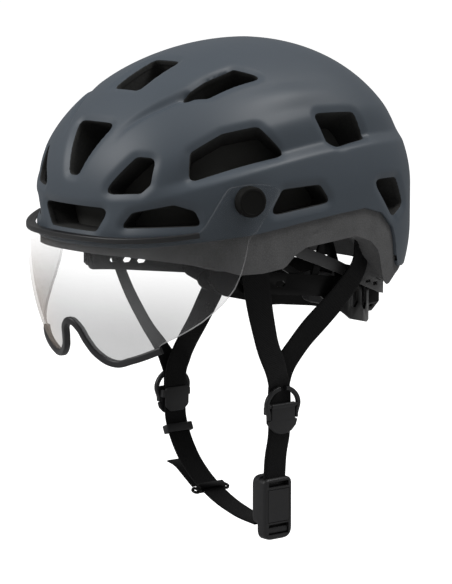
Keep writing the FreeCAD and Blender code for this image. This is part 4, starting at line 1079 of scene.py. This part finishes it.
def makeDivider(side):
    look = dividerLook
    hinge = look["hinge"][side]
    pinX = look["pinX"]
    frameMesh = bmesh.new()
    for turn in (-1, 1):
        arm = smoothPath([(pinX - 0.2, y * turn, z + hinge) for y, z in look["arm"]], 34)
        taper = 1 - 0.35 * smoothStep(np.linspace(0, 1, 34), 0.75, 1.0)
        halves = 1.6 * taper
        sweep(arm, [(1, 0, 0)] * 34,
              lambda index: roundedSection(-1.7, 1.7, -halves[index], halves[index], 1.2), frameMesh)
        addPlate(frameMesh, easeOutline([(10.2 * turn, hinge - 0.6), (12.6 * turn, hinge - 0.6),
                                         (12.6 * turn, hinge - 6.0), (10.2 * turn, hinge - 6.0)], 0.6, 2),
                 57.2, pinX - 1.2, 0.3, 2)
    addPlate(frameMesh, easeOutline([(y, z + hinge) for y, z in look["back"]], 3.0, 5), 57.1, 58.3, 0.3, 2)
    flapMesh = bmesh.new()
    addPlate(flapMesh, easeOutline([(y, z + hinge) for y, z in look["flap"]], 2.2, 4), 61.9, 64.4, 0.8, 3)
    for reach, section in look["pins"]:
        sweep([(pinX, y, hinge) for y in np.linspace(-reach, reach, 8)], [(1, 0, 0)] * 8,
              roundedSection(*section), flapMesh)
    for bm, name, body in ((frameMesh, "divider_frame_" + side, "root"),
                           (flapMesh, "divider_flap_" + side, side + "_flap")):
        if side == "right":
            bmesh.ops.scale(bm, vec=(-1, 1, 1), verts=bm.verts)
        finishPiece(bm, name.replace("_", "-"), "hardware", body, [name], 40.0)


# "presses" are rectangles sunk in the front: half width, bottom, top, depth, and a groove's width or 0
buckleLook = {"middle": (50.0, 1.0, -198.0), "halfWide": 13.5, "halfTall": 23.0, "depth": 8.0,
              "presses": [(9.2, 15.2, 19.0, 5.0, 0.0), (9.2, -19.2, -11.5, 4.4, 0.0),
                          (9.9, -10.4, 13.6, 0.7, 0.55)]}


def makeBuckle():
    x, y, z = buckleLook["middle"]
    wide, tall, depth = buckleLook["halfWide"], buckleLook["halfTall"], buckleLook["depth"]

    def outline(reach, low, high, lowCorner, highCorner):
        bottom, top = [
            easeOutline([(y - reach * side, end), (y - reach * 0.95 * side, tip),
                         (y + reach * 0.95 * side, tip), (y + reach * side, end)], corner, 8)
            for side, tip, end, corner in ((1, low, high, lowCorner), (-1, high, low, highCorner))]
        middle = (low + high) / 2
        return [tuple(p) for p in bottom if p[1] < middle] + [tuple(p) for p in top if p[1] >= middle]

    outer = bmesh.new()
    addPlate(outer, outline(wide, z - tall, z + tall - 1.5, 8.0, 5.5), x + 0.15, x + depth, 2.6, 6, True)
    bmesh.ops.recalc_face_normals(outer, faces=outer.faces)
    outer.normal_update()
    for reach, low, high, *press in buckleLook["presses"]:
        pressFront(outer, y - reach, y + reach, z + low, z + high, *press)
    sweep([(x + 4.6, y + side, z - 16.2) for side in np.linspace(-9.1, 9.1, 6)], [(1, 0, 0)] * 6,
          roundedSection(-2.0, 2.2, -2.6, 2.6, 1.8, 4), outer)
    finishPiece(outer, "buckle-outer", "hardware", "root", ["buckle_outer"], 35.0)
    inner = bmesh.new()
    addPlate(inner, outline(wide - 0.4, z - tall + 10.0, z + tall, 7.0, 7.0), x - 0.15, x - depth, 3.4, 6,
             True)
    low, high = y - wide + 1, y + wide - 1
    addPlate(inner, [(low, z - 6), (high, z - 6), (high, z + 6), (low, z + 6)], x - 0.5, x + 2.4, 0.3, 2)
    finishPiece(inner, "buckle-inner", "hardware", "buckle_catch", ["buckle_inner"], 35.0)


for side in ("left", "right"):
    makeDivider(side)
makeBuckle()
print("dividers and buckle made")

hardware = [
    ("strap_keeper", "seal", "keeper", 0.5), ("length_adjuster", "plastic", "adjuster", 0.3),
    ("nape_cradle", "plastic", "retention", 0.4), ("dial_housing", "plastic", "retention", 0.7),
    ("fit_dial", "hardware", "dial", 0.35),
    ("temple_band_left", "plastic", "retention", 0.35), ("temple_band_right", "plastic", "retention", 0.35),
    ("tension_belt_left", "belt", "retention", 0.3), ("tension_belt_right", "belt", "retention", 0.3),
]
# the belts run between the temple band and the rack that pulls them, and are left out of any body with their
# places baked in
for node, finish, body, width in hardware:
    bends = node.startswith("tension_belt")
    piece = easedCopy(node, node.replace("_", "-"), finish, None if bends else body, width)
    if bends:
        side = node.rsplit("_", 1)[1]
        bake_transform(piece)
print("hardware made")


# pads: the CAD pad's shape with rounded borders
padLook = {"border": 1.6, "fill": 0.8,
           "bodies": {"brow_pad": "root", "crown_pads": "root", "side_pads": "root", "nape_pad": "retention"}}
for node, body in padLook["bodies"].items():
    piece = easedCopy(node, node.replace("_", "-"), "pad", body, padLook["border"], 4, 50.0, 60.0, 0)
print("pads made")

# small CAD pieces that keep their own shape
plainNodes = {"strap_anchors": "plastic", "buckle_magnet": "steel", "catch_magnet": "steel",
              "dial_pinion": "plastic"}
for side in ("_left", "_right"):
    for node in ("pivot_socket", "temple_anchor", "hanger_peg"):
        plainNodes[node + side] = "plastic"
    plainNodes["friction_washer" + side] = "seal"
    plainNodes["pivot_screw" + side] = "steel"
    plainNodes["rack" + side] = "belt"
for node, finish in plainNodes.items():
    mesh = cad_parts[node].data
    mesh.materials.clear()
    mesh.materials.append(finishes[finish])


# puts a lamp or camera at a place, facing a target
def standAt(holder, place, target):
    holder.location = place
    direction = Vector(target) - Vector(place)
    holder.rotation_euler = direction.to_track_quat("-Z", "Y").to_euler()
    bpy.context.scene.collection.objects.link(holder)
    return holder


def makeRoom():
    world = bpy.data.worlds.new("studio")
    bpy.context.scene.world = world
    world.use_nodes = True
    tree = world.node_tree
    sky = tree.nodes["Background"]
    feed(tree, sky, {"Color": (1.0, 1.0, 1.0, 1), "Strength": studio["skyStrength"]})
    white = addNode(tree, "Background", {"Strength": 1.0})
    rays = addNode(tree, "LightPath")
    mix = addNode(tree, "MixShader", {0: rays.outputs["Is Camera Ray"], 1: sky.outputs[0],
                                      2: white.outputs[0]})
    feed(tree, tree.nodes["World Output"], {"Surface": mix.outputs[0]})

    bm = bmesh.new()
    bmesh.ops.create_grid(bm, x_segments=1, y_segments=1, size=40.0)
    bmesh.ops.translate(bm, vec=(0, 0, studio["floorHeight"]), verts=bm.verts)
    mesh = bpy.data.meshes.new("floor")
    bm.to_mesh(mesh)
    bm.free()
    material, tree, shader = newMaterial("floorPaper")
    rays = addNode(tree, "LightPath")
    glow = maths(tree, "MULTIPLY", rays.outputs["Is Camera Ray"], studio["floorGlow"])
    feed(tree, shader, {"Base Color": (*[studio["floorColor"]] * 3, 1), "Roughness": 0.9,
                        "Emission Color": (1, 1, 1, 1), "Emission Strength": glow})
    mesh.materials.append(material)
    floor = bpy.data.objects.new("floor", mesh)
    bpy.context.scene.collection.objects.link(floor)

    for name, (place, size, power) in studio["lamps"].items():
        light = bpy.data.lights.new(name, "AREA")
        light.energy = power
        light.size = size
        standAt(bpy.data.objects.new(name, light), place, studio["lampTarget"])

    camera = bpy.data.cameras.new("camera")
    camera.lens = studio["lens"]
    camera.sensor_width = 36
    camera.clip_start = 0.05
    bpy.context.scene.camera = standAt(bpy.data.objects.new("camera", camera), studio["cameraPlace"],
                                       studio["cameraTarget"])
    bpy.context.scene.view_settings.view_transform = "Standard"


makeRoom()
print("room made")
